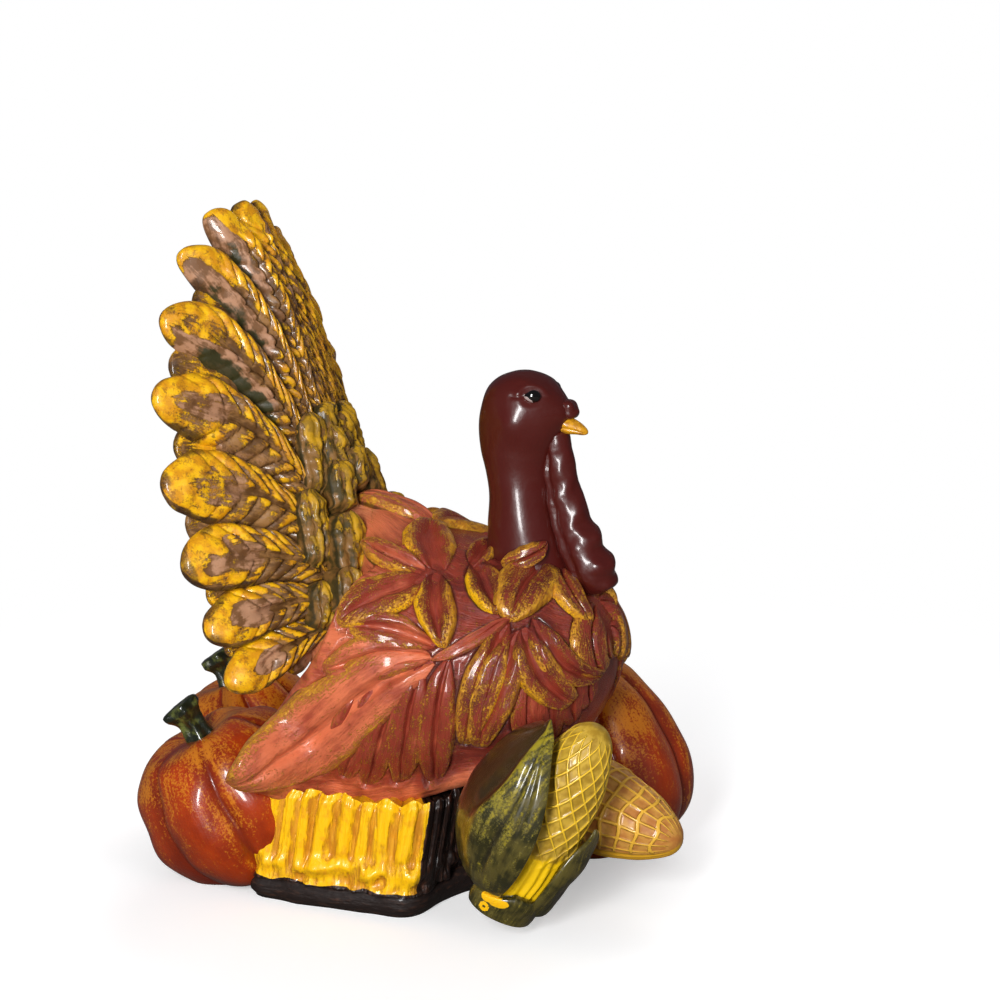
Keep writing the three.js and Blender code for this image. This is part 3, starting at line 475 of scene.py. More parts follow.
def pumpkin_colour(paint):
    """Burnt orange drifting to ember, painted shade of dark rust in the grooves and toward the bottom, gold
    rubbed in broken patches along the ribs.
    """
    stroke = paint.streaks(8.0, 1.3)
    speck = paint.noise(0.7, 5.0, 0.72)
    base = paint.blend(paint.noise(12.0) + stroke.about(0.12), 0.36, 0.64, EMBER, ORANGE)
    # Painted shade: dark rust in the grooves and toward the bottom.
    base = paint.blend(paint.mask("crease_and_shade"), 0.3, 1.0, base, RUST_SHADE, 0.7)
    cover = paint.mask("gold") + paint.stray(2.4, 10.0)
    rubbed = stroke * 0.3 + speck * 0.7 + cover * 0.17
    base = paint.blend(rubbed, 0.6, 0.72, base, AMBER, 0.75)
    return base, stroke * 0.5 + speck * 0.3


def stem_colour(paint):
    """Near-black green with a mossy bloom."""
    return paint.blend(paint.noise(3.0), 0.45, 0.7, PINE, LICHEN), paint.noise(1.2)


def straw_colour(paint):
    """Thick yellow on the ribs of straw, deeper gold between them; the end and the foot are pitch brown."""
    speck = paint.noise(1.2, 4.0)
    stroke = paint.noise(1.0, 4.0, 0.6, stretch=(1.3, 1.3, 12.0))
    lit = paint.band(paint.mask("gold") + paint.stray(0.9, 5.0) + stroke.about(0.9), 0.3, 0.6)
    base = paint.mix(lit, paint.blend(stroke, 0.35, 0.65, SHADED_STRAW, STRAW), BRIGHT_STRAW)
    base = paint.blend(paint.noise(3.0) + speck.about(0.4), 0.52, 0.72, base, HONEY, 0.6)
    dark = paint.blend(stroke + speck * 0.3, 0.6, 0.9, PITCH, WORN_END)
    bare = paint.mask("bare") + paint.stray(0.5, 3.0, 4.0)
    return paint.blend(bare, 0.46, 0.54, base, dark), stroke + lit * 0.5


def slab_colour(paint):
    """Pitch brown, glossy, with worn brown streaks."""
    stroke = paint.noise(2.0, 4.0, 0.6, stretch=(4.0, 4.0, 1.0))
    return paint.blend(stroke, 0.5, 0.8, PITCH, WORN_SLAB), stroke


def lattice_colour(paint, colours, cover, ragged, start, end, bare_cover):
    """Lattice over mottled cells, and a bare part with a ragged edge where the plain mask says so."""
    dark, pale, thread, bare = colours
    cell = paint.blend(paint.noise(3.0), 0.35, 0.65, dark, pale)
    line = paint.band(paint.mask("line") + paint.stray(0.4, 1.2), 0.4, 0.7)
    base = paint.mix(line * cover, cell, thread)
    plain = paint.mask("plain") + paint.stray(ragged, 2.5)
    return paint.blend(plain, start, end, base, bare, bare_cover), line


def corn_colour(paint):
    """Yellow lattice over olive-tan cells, bare yellow with a crisp edge."""
    return lattice_colour(paint, CORN, 1.0, 0.6, 0.4, 0.6, 1.0)


def side_corn_colour(paint):
    """Dull yellow lattice over tan cells, and a yellow underside with a soft edge."""
    return lattice_colour(paint, SIDE_CORN, 0.85, 0.7, 0.35, 0.7, 0.9)


def husk_colour(paint):
    """Dark olive, yellow-green scumble on the ridges, painted brown shade on the flat facet, painted dark
    shade in the grooves and a yellow drip.
    """
    stroke = paint.streaks(7.0, 0.8)
    speck = paint.noise(0.6, 5.0, 0.72)
    base = paint.blend(paint.noise(6.0) + stroke.about(0.5), 0.38, 0.62, HUSK_DARK, HUSK_GREEN)
    cover = paint.mask("gold") + paint.stray(1.4, 5.0)
    dry = paint.band(stroke * 0.45 + speck * 0.55 + cover * 0.22, 0.58, 0.71)
    base = paint.mix(dry * 0.9, base, paint.mix(paint.noise(2.5), SCUMBLE_GREEN, SCUMBLE_YELLOW))
    # Painted shade: brown on the flat facet and near black in the grooves.
    base = paint.blend(paint.mask("facet") + speck.about(0.3), 0.4, 0.6, base, HUSK_FACET_SHADE)
    base = paint.blend(paint.mask("crease_and_shade"), 0.4, 1.0, base, HUSK_GROOVE_SHADE, 0.85)
    base = paint.blend(paint.mask("drip"), 0.45, 0.6, base, YELLOW)
    return base, stroke * 0.6 + speck * 0.3 + dry * 0.3


def eye_colour(paint):
    """Black bead with a pale lower rear corner."""
    return paint.blend(paint.mask("pale"), 0.35, 0.65, EYE_BLACK, EYE_PALE), paint.noise(2.0) * 0.05


def beak_colour(paint):
    """Ochre yellow with browner patches."""
    return paint.blend(paint.noise(2.0), 0.4, 0.7, BEAK_YELLOW, BEAK_BROWN), paint.noise(1.0)


plumage = finish("plumage", plumage_colour, relief=0.0004, gloss=0.45, roughness=0.42)
fan_paint = finish("fan_paint", fan_colour, roughness=0.4)
covert_paint = finish("covert_paint", covert_colour, gloss=0.2, roughness=0.55)
flesh = finish("flesh", flesh_colour, relief=0.0002, roughness=0.34, coat_roughness=0.15)
pumpkin_paint = finish("pumpkin_paint", pumpkin_colour, gloss=0.6, roughness=0.35)
stem_paint = finish("stem_paint", stem_colour, gloss=0.9, roughness=0.3)
straw_paint = finish("straw_paint", straw_colour, relief=0.0005, gloss=0.45, roughness=0.4)
slab_paint = finish("slab_paint", slab_colour, relief=0.0005, gloss=0.25, roughness=0.6)
corn_paint = finish("corn_paint", corn_colour, gloss=0.35, roughness=0.42)
side_corn_paint = finish("side_corn_paint", side_corn_colour, gloss=0.35, roughness=0.42)
husk_paint = finish("husk_paint", husk_colour, gloss=0.75, roughness=0.34)
eye_paint = finish("eye_paint", eye_colour, relief=0.00002, gloss=1.0, roughness=0.12, coat_roughness=0.03)
beak_paint = finish("beak_paint", beak_colour, gloss=0.4)


# Body and flanks

def body_section(x):
    """Middle height and upper, lower and side half-sizes of the egg at x."""
    share = clip((x - BODY_MID_X) / BODY_HALF_LENGTH, -1, 1)
    round_off = oval(share, 2.6)
    tall = (BODY_HALF_HEIGHT - 6 * share + 6 * share ** 2) * round_off
    middle = BODY_MID_Z - 7 * share + 9 * share ** 2
    return middle, tall, tall + 3 * round_off, BODY_HALF_WIDTH * round_off


def flank_base(along, arc, hand):
    """Side of the egg, standing out to the barrel of the folded wing at the lower rear; the right wing's
    point is flared outward, clear of the pumpkin beside it."""
    angle = arc / FLANK_RADIUS
    turn = clip(along / BODY_HALF_LENGTH, None, pi / 2)
    x = BODY_MID_X + where(along > 0, BODY_HALF_LENGTH * sin(turn), along)
    middle, up, down, side = body_section(x)
    wing = smooth(28, -8, x) * smooth(0.84, 0.09, angle)
    out = lerp(side, WING_HALF_SPREAD, wing)
    height = lerp(where(angle > 0, up, down), WING_HALF_HEIGHT, wing)
    level = lerp(middle, BODY_MID_Z + 2, wing)
    flare = WING_FLARE * (hand == RIGHT) * smooth(-22, -54, along) * smooth(-4, -26, arc)
    ahead, sideways, upward = FLARE_DIRECTION
    return xyz(x + ahead * flare, hand * (out * cos(angle) + sideways * flare),
               level + height * sin(angle) + upward * flare)


def flank(along, arc, lift, hand):
    """Point lifted off the flank along its normal, found from small steps both ways."""
    step = 0.4
    forward = flank_base(along + step, arc, hand) - flank_base(along - step, arc, hand)
    upward = flank_base(along, arc + step, hand) - flank_base(along, arc - step, hand)
    normal = -hand * np.cross(forward, upward)
    normal /= norm(normal, axis=-1, keepdims=True) + 1e-9
    return flank_base(along, arc, hand) + normal * lift[..., None]


# Wing and breast feathers in flank measures: root along, root arc, tip along, tip arc, width, bend,
# groove width, gold, gilt with its painted highlight, tone, height of the deck it lies on
LEAVES = {
    "primaries": [
        (9, 8, -57, -31, 19, 1.0, 0.12, 0.75, 0.40, 0.72, 1.2),
        (7.5, 8.5, -23, 0, 10, 0.6, 0.22, 0.75, 0.35, 0.60, 0.4),
        (8.5, 12, -16, 8.5, 9.5, -0.8, 0.24, 0.75, 0.35, 0.50, 0.6),
        (28, 27, 7, 7, 4.5, 1.0, 0.02, 0.45, 0.20, 0.50, 0.6)],
    "secondaries": [
        (-12, -4, -24.5, -20.5, 8, 0.6, 0.12, 0.52, 0.15, 0.55, 0.0),
        (-6.5, -2, -22, -26, 9.5, 0.8, 0.10, 0.52, 0.15, 0.46, 0.1),
        (-0.5, 1, -16, -29, 10.5, 0.8, 0.08, 0.56, 0.15, 0.40, 0.2),
        (5, 5, -7, -30.5, 11, 0.8, 0.08, 0.62, 0.15, 0.36, 0.3),
        (12, 10, 2, -35, 11, 0.8, 0.10, 0.55, 0.15, 0.36, 0.4)],
    "middle_feathers": [
        (26, 25, 14.5, -18.5, 12, 1.6, 0.20, 0.92, 0.60, 0.28, 0.7),
        (30.5, 22, 18.5, -19.5, 14, 1.0, 0.22, 0.82, 0.35, 0.24, 1.2),
        (31, 23.5, 49, -14.5, 14, -1.5, 0.24, 0.86, 0.55, 0.20, 1.6),
        (33, 27.5, 63, -11, 14, -2.5, 0.20, 0.80, 0.25, 0.20, 1.2)],
    "upper_feathers": [
        (0, 32.5, -19, 8.8, 13.5, 1.2, 0.22, 0.92, 0.55, 0.36, 0.6),
        (-0.5, 34, -21, 33.5, 9, 0.5, 0.22, 0.86, 0.35, 0.50, 0.4),
        (2, 35, 10, 11.5, 12, -0.6, 0.34, 1.0, 0.85, 0.20, 0.8),
        (3, 35, -8, 56.5, 15, 2.0, 0.36, 0.92, 0.60, 0.36, 0.4),
        (10, 43, 22.5, 25.5, 11.5, 0.5, 0.34, 0.92, 0.85, 0.15, 0.8),
        (9.5, 41, 10.5, 57, 8, 0.0, 0.34, 0.85, 0.50, 0.20, 0.6),
        (-7, 56, -32, 55, 8, 0.5, 0.20, 0.72, 0.25, 0.65, 0.2)],
    "shoulder_feathers": [
        (28, 57, 26.5, 23.5, 19, 0.0, 0.07, 0.98, 0.25, 0.18, 1.6),
        (30, 57, 52.5, 32.5, 13, -2.0, 0.08, 1.0, 0.50, 0.20, 1.2),
        (28, 60, 13, 53.5, 8, 0.5, 0.14, 0.90, 0.40, 0.22, 1.0)],
    "breast_feathers": [
        (36, 4, 33, -26, 11.5, 0.0, 0.10, 0.45, 0.0, 0.36, -1.2),
        (43, 6, 40, -30, 11.5, 0.0, 0.10, 0.42, 0.0, 0.30, -1.1),
        (50, 4, 47, -30, 11.5, 0.0, 0.10, 0.45, 0.0, 0.28, -1.0),
        (57, 0, 54, -30, 11.5, 0.0, 0.10, 0.45, 0.0, 0.26, -1.1),
        (50, 54, 62.5, -15, 17, -1.0, 0.06, 0.80, 0.10, 0.30, 0.2),
        (60, 48, 70, -8, 12, -1.0, 0.08, 0.75, 0.10, 0.30, -1.0)],
}
LEAF_HEIGHT = 2.6
LEAF_SINK = 0.9
VALLEY_DEPTH = 2.4

# The leaf at the foot of the neck, in the same columns, measured round the neck and up it
COLLAR_LEAF = (10, 4.6, -2.5, -1.5, 6.0, 0.5, 0.06, 0.9, 0.3, 0.22, 0.0)
COLLAR_SEED = 48.0


def leaf_half_width(share, width):
    """Lance outline: widest a little past the middle, slightly pointed at both ends."""
    return width / 2 * sin(pi * share ** 1.05) ** 0.6


def collar(along, arc, lift, hand):
    """Point off the foot of the neck: along runs round it from the side toward the front, arc up it."""
    radius = NECK_RADIUS + 1.2 + 0.2 * maximum(6 - arc, 0) + lift
    turn = along / (NECK_RADIUS + 2)
    return xyz(NECK_X + 2.4 + (radius + 0.6) * sin(turn), hand * radius * cos(turn), NECK_TOP + arc)


def leaf(row, hand, seed, surface=flank):
    """Pad laid on a surface: flat vanes with a steep rim, and a valley open at the root that closes toward
    the tip."""
    root_along, root_arc, tip_along, tip_arc, width, bend, groove, gold, gilt_and_highlight, tone, deck = row
    run = array([tip_along - root_along, tip_arc - root_arc])
    length = norm(run)
    ahead = run / length
    t = even_rows(64)
    c, upper = pad_columns(44, 6)
    half = leaf_half_width(t, width) * (1 + 0.035 * sin(11 * t + seed) + 0.03 * sin(23 * t + 2 * seed))
    side = bend * sin(pi * t) + half * c
    along = root_along + run[0] * t - ahead[1] * side
    arc = root_arc + run[1] * t + ahead[0] * side
    rim = oval(c, 5)
    ends = oval(2 * t - 1, 5)
    opening = groove * (2.7 - 2.3 * t) + 0.05
    valley = smooth(opening, 0.1 * opening, abs(c)) * smooth(1.0, 0.75, t)
    lip = 0.08 * bump(abs(c) - 0.78, 0.14) * smooth(0.1, 0.4, t)
    raised = (deck + LEAF_SINK) * smooth(0.0, 0.25, t)
    crown = rim * ends * ((LEAF_HEIGHT + raised) * (0.9 + lip) - VALLEY_DEPTH * valley)
    lift = where(upper > 0, crown - LEAF_SINK, -LEAF_SINK - 0.8 * rim)
    points = surface(along, arc, lift, hand)
    vane = (1 - 0.9 * valley) * smooth(0.02, 0.2, t)
    edge = clip(smooth(0.45, 0.9, abs(c)) * smooth(0.1, 0.35, t) + 0.6 * smooth(0.75, 0.95, t), 0, 1)
    # Painted highlight: the gilt rim is brightest on the side of the leaf that faces the light.
    lit = 0.55 + 0.45 * sign(-ahead[0] - ahead[1] * 0.3) * c
    inside = lerp(0.5, 0.15, smooth(0.45, 0.75, tone))
    # The crease mask is painted shade: a dark line down the valley and round the rim.
    masks = {"gold": gold * vane * (inside + (1.05 - inside) * edge),
             "gilt_and_highlight": gilt_and_highlight * edge * lit * vane,
             "tone": tone + 0.1 * edge + 0.12 * valley,
             "crease_and_shade": maximum(0.6 * bump(c, 0.06) * valley, smooth(0.94, 1.0, abs(c)) * upper)}
    return uneven(points, 0.22, 8, int(seed)), masks | brush(length * t, half * c, seed)


def leaf_distance(row, along, arc):
    """Distance of flank places from a leaf's outline, less than zero inside it."""
    root, tip = array(row[0:2]), array(row[2:4])
    width, bend = row[4:6]
    length = norm(tip - root)
    ahead = (tip - root) / length
    t = ((along - root[0]) * ahead[0] + (arc - root[1]) * ahead[1]) / length
    inside = clip(t, 0.02, 0.98)
    side = -(along - root[0]) * ahead[1] + (arc - root[1]) * ahead[0] - bend * sin(pi * inside)
    beyond = abs(t - inside) * length
    excess = abs(side) - leaf_half_width(inside, width)
    return where((excess < 0) & (beyond == 0), excess, hypot(maximum(excess, 0), beyond))


def flank_sheet(hand):
    """Side of the bird in flank measures, rising in a fillet to each leaf, its border rolled inward; the
    lower edge stands out as a skirt, and a second skin lies behind the first."""
    rear, nose = -55, 60
    columns = 180
    border_width, sheet_depth = 5, 7
    u = column(0, 1, 220)
    v = linspace(0, 1, columns)[None, :]
    along = lerp(rear, nose, u)
    border_along = [-57, -44, -36, -29, -25, -22, -19, -16, -11, -5, 40, 62]
    border_arc = [-31, -16.5, -7.5, -1, 4, 10, 16.5, 27, 40, 50, 50, 44]
    high = np.interp(along, border_along, border_arc)
    low = lerp(-36, -44, smooth(-55, -35, along)) + 16 * smooth(40, 62, along)
    arc = lerp(low, high, v)
    along = along + 0 * arc
    rows = [row for group in LEAVES.values() for row in group]
    distance = np.min([leaf_distance(row, along, arc) for row in rows], axis=0)
    outside = maximum(distance, 0)
    border = minimum(minimum(u, 1 - u) * (nose - rear), minimum(v, 1 - v) * (high - low))
    roll = 1 - oval(1 - clip(border / border_width, 0, 1))
    lift = 0.3 + 0.7 * bump(outside, 2.0) - 2.2 * smooth(0, -1.2, distance) - border_width * roll
    points = flank(along, arc, lift, hand)
    skirt = smooth(-24, -40, arc) * smooth(-50, -30, along) * smooth(30, 15, along)
    points[..., 1] += hand * 7 * skirt
    points = uneven(points + 0.35 * wobble(points, 9, 5)[..., None] * [0, hand, 0], 0.15, 5, 8)
    near = bump(outside, 4.5)
    front = smooth(-18, 14, along)
    # The crease mask is painted shade round the foot of each leaf, stronger toward the front.
    masks = {"gold": 0.16 * near + 0.02, "gilt_and_highlight": 0,
             "tone": lerp(0.78, 0.36, front) - 0.16 * near + 0.6 * skirt * front,
             "crease_and_shade": 0.85 * bump(outside, 0.9) * (0.5 + 0.5 * front)} | brush(along, arc)
    behind = np.arange(columns)[::-1][1:-1:6]
    order = concatenate([np.arange(columns), behind])
    masks = {key: np.broadcast_to(mask, along.shape)[:, order] for key, mask in masks.items()}
    return concatenate([points, points[:, behind] - [0, hand * sheet_depth, 0]], 1), masks


def body():
    """Egg lying along X: rings of the section, denser toward both ends, drawn in above the tail's root."""
    share = -cos(pi * column(0.01, 0.99, 110))
    turn = around(130)
    x = BODY_MID_X + BODY_HALF_LENGTH * share
    middle, up, down, side = body_section(x)
    rise = sin(turn)
    z = middle + where(rise > 0, up, down) * rise
    pinch = 1 - 0.6 * smooth(2, -18, x) * smooth(2, 16, z - BODY_MID_Z)
    points = uneven(xyz(x, pinch * side * cos(turn), z), 0.4, 12, 21)
    masks = {"gold": 0.25 * smooth(0.6, 1, rise) * smooth(-30, 10, x), "gilt_and_highlight": 0,
             "tone": lerp(1.15, 0.36, smooth(-26, 16, x)), "crease_and_shade": 0}
    return points, masks | brush(x, FLANK_RADIUS * turn)


# Tail fan

# Tail feathers from the middle one outward: tilt, moss, bare side, rosy ring on the tip, pointed tip, tip
# drawn outward, painted shadow along the lower edge, reach of the web behind
FEATHERS = [
    (0.0, 0.3, 0.5, 0.0, 0.2, 0.0, 0.0, 0.86),
    (2.4, 0.8, 0.75, 0.0, 0.7, 0.2, 0.0, 0.86),
    (2.4, 0.7, 0.95, 0.0, 1.0, 0.2, 0.0, 0.88),
    (2.2, 0.95, 0.7, 0.3, 0.8, 0.1, 0.0, 0.93),
    (1.2, 0.3, 0.3, 0.6, 0.6, -0.2, 0.4, 0.92),
    (0.2, 0.0, 0.2, 0.5, 0.2, -0.1, 0.8, 0.93),
    (-0.6, 0.0, 0.2, 0.6, 0.0, 0.0, 1.0, 0.93),
    (-0.8, 0.0, 0.2, 1.0, 0.0, 0.0, 1.0, 0.93),
    (-0.8, 0.0, 0.0, 1.0, 0.0, 0.0, 0.7, 0.66),
]

# Thumbs of each covert from the middle one outward: root across, root rise, tip across, tip rise, width, lift
COVERTS = [
    [(-2.5, 43, 1, 56, 8, 9.0), (-2.5, 56, -2.5, 69.5, 7.5, 5.5),
     (-5, 47, -3.5, 63, 8, 7.0), (4, 48, 3, 66, 9, 5.5)],
    [(12.5, 43, 8.5, 68, 9.5, 5.5), (8.5, 38, 5.5, 54, 8.5, 8.5)],
    [(20.5, 24, 16.5, 48, 8.5, 6.5), (15.5, 19, 10.5, 40, 9.5, 11.5)],
    [(26, 9, 21, 23.5, 7, 7.5), (20.5, 12, 16, 26, 8, 13.0)],
]


def outer_hand(place):
    """Side that a feather's outer edge lies on; the middle one counts as left."""
    return RIGHT if place < 0 else LEFT


def fan_point(y, rise, lift):
    """Fan sheet: leans back with height, curls back near the top, sweeps back either side of a rounded
    middle."""
    side = hypot(y, FAN_RIDGE)
    curled = maximum(rise - FAN_CURL_START, 0)
    x = FAN_FOCUS_X - FAN_LEAN * rise - FAN_CURL * curled ** 2 - FAN_SWEEP * (side - FAN_RIDGE)
    normal = xyz(1, FAN_SWEEP * y / side, FAN_LEAN + 2 * FAN_CURL * curled)
    normal /= norm(normal, axis=-1, keepdims=True)
    return xyz(x, y, FAN_FOCUS_Z + rise) + normal * lift[..., None]


def quill_path(place, share):
    """Middle line of a feather on the fan, feathers counted from the middle one: it leaves the body beside
    its neighbours, then bends outward to its tip, as a curve through a start, a bend and an end."""
    away = abs(place)
    spread = smooth(1, 7, away) * smooth(8.5, 7, away)
    angle = np.radians(away * (5.1 + 0.72 * away) + 3 * spread)
    reach = FAN_REACH - FAN_SIDE_LOSS * smooth(0.6, 7.6, away) + 3 * spread
    tip_rise = reach * cos(angle)
    bend_rise = 0.72 * tip_rise + 15
    rest = 1 - share
    across = 2.2 * away * (1 - share ** 2) + reach * sin(angle) * share ** 2
    rise = 8 * rest ** 2 + 2 * bend_rise * rest * share + tip_rise * share ** 2
    return np.stack([sign(place) * across, rise], -1)


def quill(place, end, front, back, base, tilt, lobe, seed, gold, moss, bare, ring, wedge, skew=0.0, lower_edge_shadow=0.0,
          rows=200, columns=46):
    """Thick feather on its middle line: leafy strands slant from a sunk shaft to the rims and run out on a
    domed tip, pointed by wedge and drawn to the outer side by skew; the amount after skew paints a shadow
    along its lower edge, bare smooths and bares its outer side, ring bares a patch of the tip."""
    hand = outer_hand(place)
    t = 0.1 + 0.9 * (1 - column(1, 0, rows) ** 1.3)
    c, upper = pad_columns(columns, 8)
    wide = abs(c)
    outer = hand * c
    middle = quill_path(place + 0 * t, end * t)
    half = norm(quill_path(place + 0.5 * hand + 0 * t, end * t) - middle, axis=-1)
    step = norm(np.diff(middle, axis=0, prepend=middle[:1]), axis=-1)

    # Strands, shaft and outline
    pitch = 2.9 + 0.2 * half
    slant = lerp(2.4, 1.5, smooth(0.2, 0.75, t))
    f = (np.cumsum(step / pitch, axis=0) - slant * wide ** 1.2 + 0.37 * seed) % 1
    ridge = maximum(4 * f * (1 - f), 0) ** 0.4 + 0.5 * (0.5 - f)
    cut = 0.76 - 0.16 * wedge
    dome = oval(maximum(t - cut, 0) / (1.0004 - cut), 2.5 - 0.7 * wedge)
    shaft_half = 0.03 + 0.09 * smooth(0.3, 0.8, t)
    shaft = smooth(shaft_half + 0.06, shaft_half - 0.04, wide) * smooth(0.9, 0.72, t)
    bared = bare * smooth(0.05, 0.4, outer) * smooth(0.5, 0.68, t)
    plain = maximum(bared, smooth(-0.85, -1.0, outer))
    fade = smooth(0.84 + 0.14 * wide, 0.68 + 0.16 * wide, t) * (1 - shaft) * (1 - plain)
    notch = 1 - 0.12 * (1 - ridge) * smooth(0.5, 1, wide) * fade
    drawn = 0.3 * hand * skew * (1 - dome)
    path = quill_path(place + drawn + (0.54 - 0.05 * wedge) * c * dome * notch, end * t)

    # Thickness
    rim = oval(c, 2.2)
    full = rim * dome ** 0.7
    relief = lobe * minimum(half / 4, 1) * ((ridge - 0.75) * fade - 0.9 * shaft)
    thick = where(upper > 0, front * full + relief * rim ** 0.5, -back * full)
    lift = base + thick - tilt * outer * smooth(0.15, 0.6, t) * dome
    points = fan_point(path[..., 0], path[..., 1], lift)

    # Paint masks
    drift = wobble(points, 9, int(10 * seed) + 5)
    tip = smooth(0.7, 0.86, t)
    start = 0.35 - 0.4 * bare
    patch = min(1.5 * bare, 1) * smooth(start, start + 0.3, outer + 0.35 * drift)
    patch = patch * smooth(0.5, 0.64, t + 0.06 * drift) * smooth(0.98, 0.9, t + 0.05 * drift)
    spot = ring * smooth(1.1, 0.8, hypot((t - 0.83) / 0.12, (c - 0.05) / 0.5) + 0.45 * drift)
    blush = clip(maximum(patch, spot), 0, 1)
    crest = clip(0.95 * ridge - 0.15, 0, 1) * fade + tip
    # Painted shadow along the lower edge of the lower feathers.
    below = lower_edge_shadow * smooth(0.72, 0.95, outer) * upper
    edge = maximum(smooth(0.6, 0.95, wide), smooth(0.93, 0.99, t))
    # Darker in patches along the rim of the tip.
    dark_tip_rim = 0.75 * tip * edge * smooth(-0.15, 0.35, drift)
    gap = smooth(0.4, 0.6, t) * smooth(0.92, 0.8, t) * smooth(0.3, 0.7, outer + 0.2 * drift)
    # The crease mask lays painted shade in the grooves between strands, on the sunk shaft and in the
    # lower-edge shadow, and darkens patches on the tip's rim; the gold thins in that shadow.
    masks = {"gold": gold * crest * (1 - 0.95 * blush) * (0.3 + 0.7 * upper) * (1 - 0.6 * below),
             "crease_and_shade": clip(smooth(0.4, 0.1, ridge) * fade + 0.5 * shaft + 0.8 * below + dark_tip_rim, 0, 1),
             "moss": moss * gap, "blush": blush, "dull": smooth(0.7, 0.3, t)}

    # Dents in the tip
    dents = (0.9 * drift + 0.5 * wobble(points, 4.5, int(10 * seed) + 6)) * tip * upper * rim * dome
    points = points + dents[..., None] * [0.95, 0, 0.3]
    return uneven(points, 0.45, 10, int(seed * 7) + 3), masks | brush(np.cumsum(step, axis=0), half * c, seed)


def tail_feather(place):
    """Long feather, and a plain shorter one behind its outer side that closes the gap to the next."""
    away = abs(place)
    hand = outer_hand(place)
    tilt, moss, bare, ring, wedge, skew, lower_edge_shadow, reach = FEATHERS[away]
    near = 1.0 if place <= 0 else 0.4
    seed = away + 0.5 * (hand == LEFT)
    long = quill(place, 1.0, 3.8 + near, 4.2, 0.15 * away, near * tilt, 2.0, seed, 0.84, moss, bare, ring,
                 wedge, skew, lower_edge_shadow)
    web = quill(place + 0.5 * hand, reach, 3.0, 2.6, -2.0, 0, 0.5, seed + 20, 0.5, 0.8 * moss, 0.6, 0.0,
                0.3, rows=80, columns=32)
    return [long, web]


def finger(root_y, root_rise, tip_y, tip_rise, width, base, seed):
    """Short rounded feather standing on the fan sheet: an uneven pad with a broad ridge, strands, slanting
    barbs and a blunt end."""
    t = even_rows(64)
    c, upper = pad_columns(40, 8)
    run = array([tip_y - root_y, tip_rise - root_rise])
    length = norm(run)
    ahead = run / length
    half = width / 2 * minimum(0.8 + 0.4 * t, 1) * oval(maximum(t - 0.7, 0) / 0.305, 2.4)
    half = half * (1 + 0.03 * sin(9 * t + seed))
    y = root_y + run[0] * t + ahead[1] * half * c
    rise = root_rise + run[1] * t - ahead[0] * half * c
    rim = oval(c, 3.0)
    tip = oval(maximum(t - 0.75, 0) / 0.255, 2.4)
    crease_and_shade = bump(c - 0.25 * sin(seed), 0.09) * smooth(0.95, 0.5, t)
    barbs = abs(sin(pi * (length * t / 3.6 - 1.3 * abs(c)) + seed)) ** 0.7 - 0.5
    ridge = bump(c + 0.3 * cos(seed), 0.4)
    strands = abs(sin(pi * (1.8 * c + 0.6 * t) + seed)) - 0.6
    top = 2.6 + 1.0 * ridge + 0.9 * strands + 0.6 * barbs * smooth(0.9, 0.6, t)
    top = top * rim * tip * (0.7 + 0.3 * t) - 0.8 * crease_and_shade
    lift = base * smooth(-0.05, 0.3, t) + where(upper > 0, top, -(3.5 + 0.4 * base) * rim)
    points = fan_point(y, rise, lift)
    dragged = maximum(ridge, 0.8 * bump(c - 0.6, 0.25)) + 0.5 * barbs + 0.5 * strands
    masks = {"gold": (0.65 * dragged + 0.4 * tip * smooth(0.5, 0.9, t)) * smooth(0.0, 0.3, t) * upper,
             "crease_and_shade": maximum(smooth(0.9, 1.0, abs(c)), 0.8 * crease_and_shade)}
    return uneven(points, 0.6, 5, int(seed)), masks | brush(length * t, half * c, seed)


def covert(place):
    """The thumbs of one covert, mirrored for the right side."""
    hand = outer_hand(place)
    return [finger(hand * row[0], row[1], hand * row[2], *row[3:], 7 * abs(place) + k + 31)
            for k, row in enumerate(COVERTS[abs(place)])]


# Head

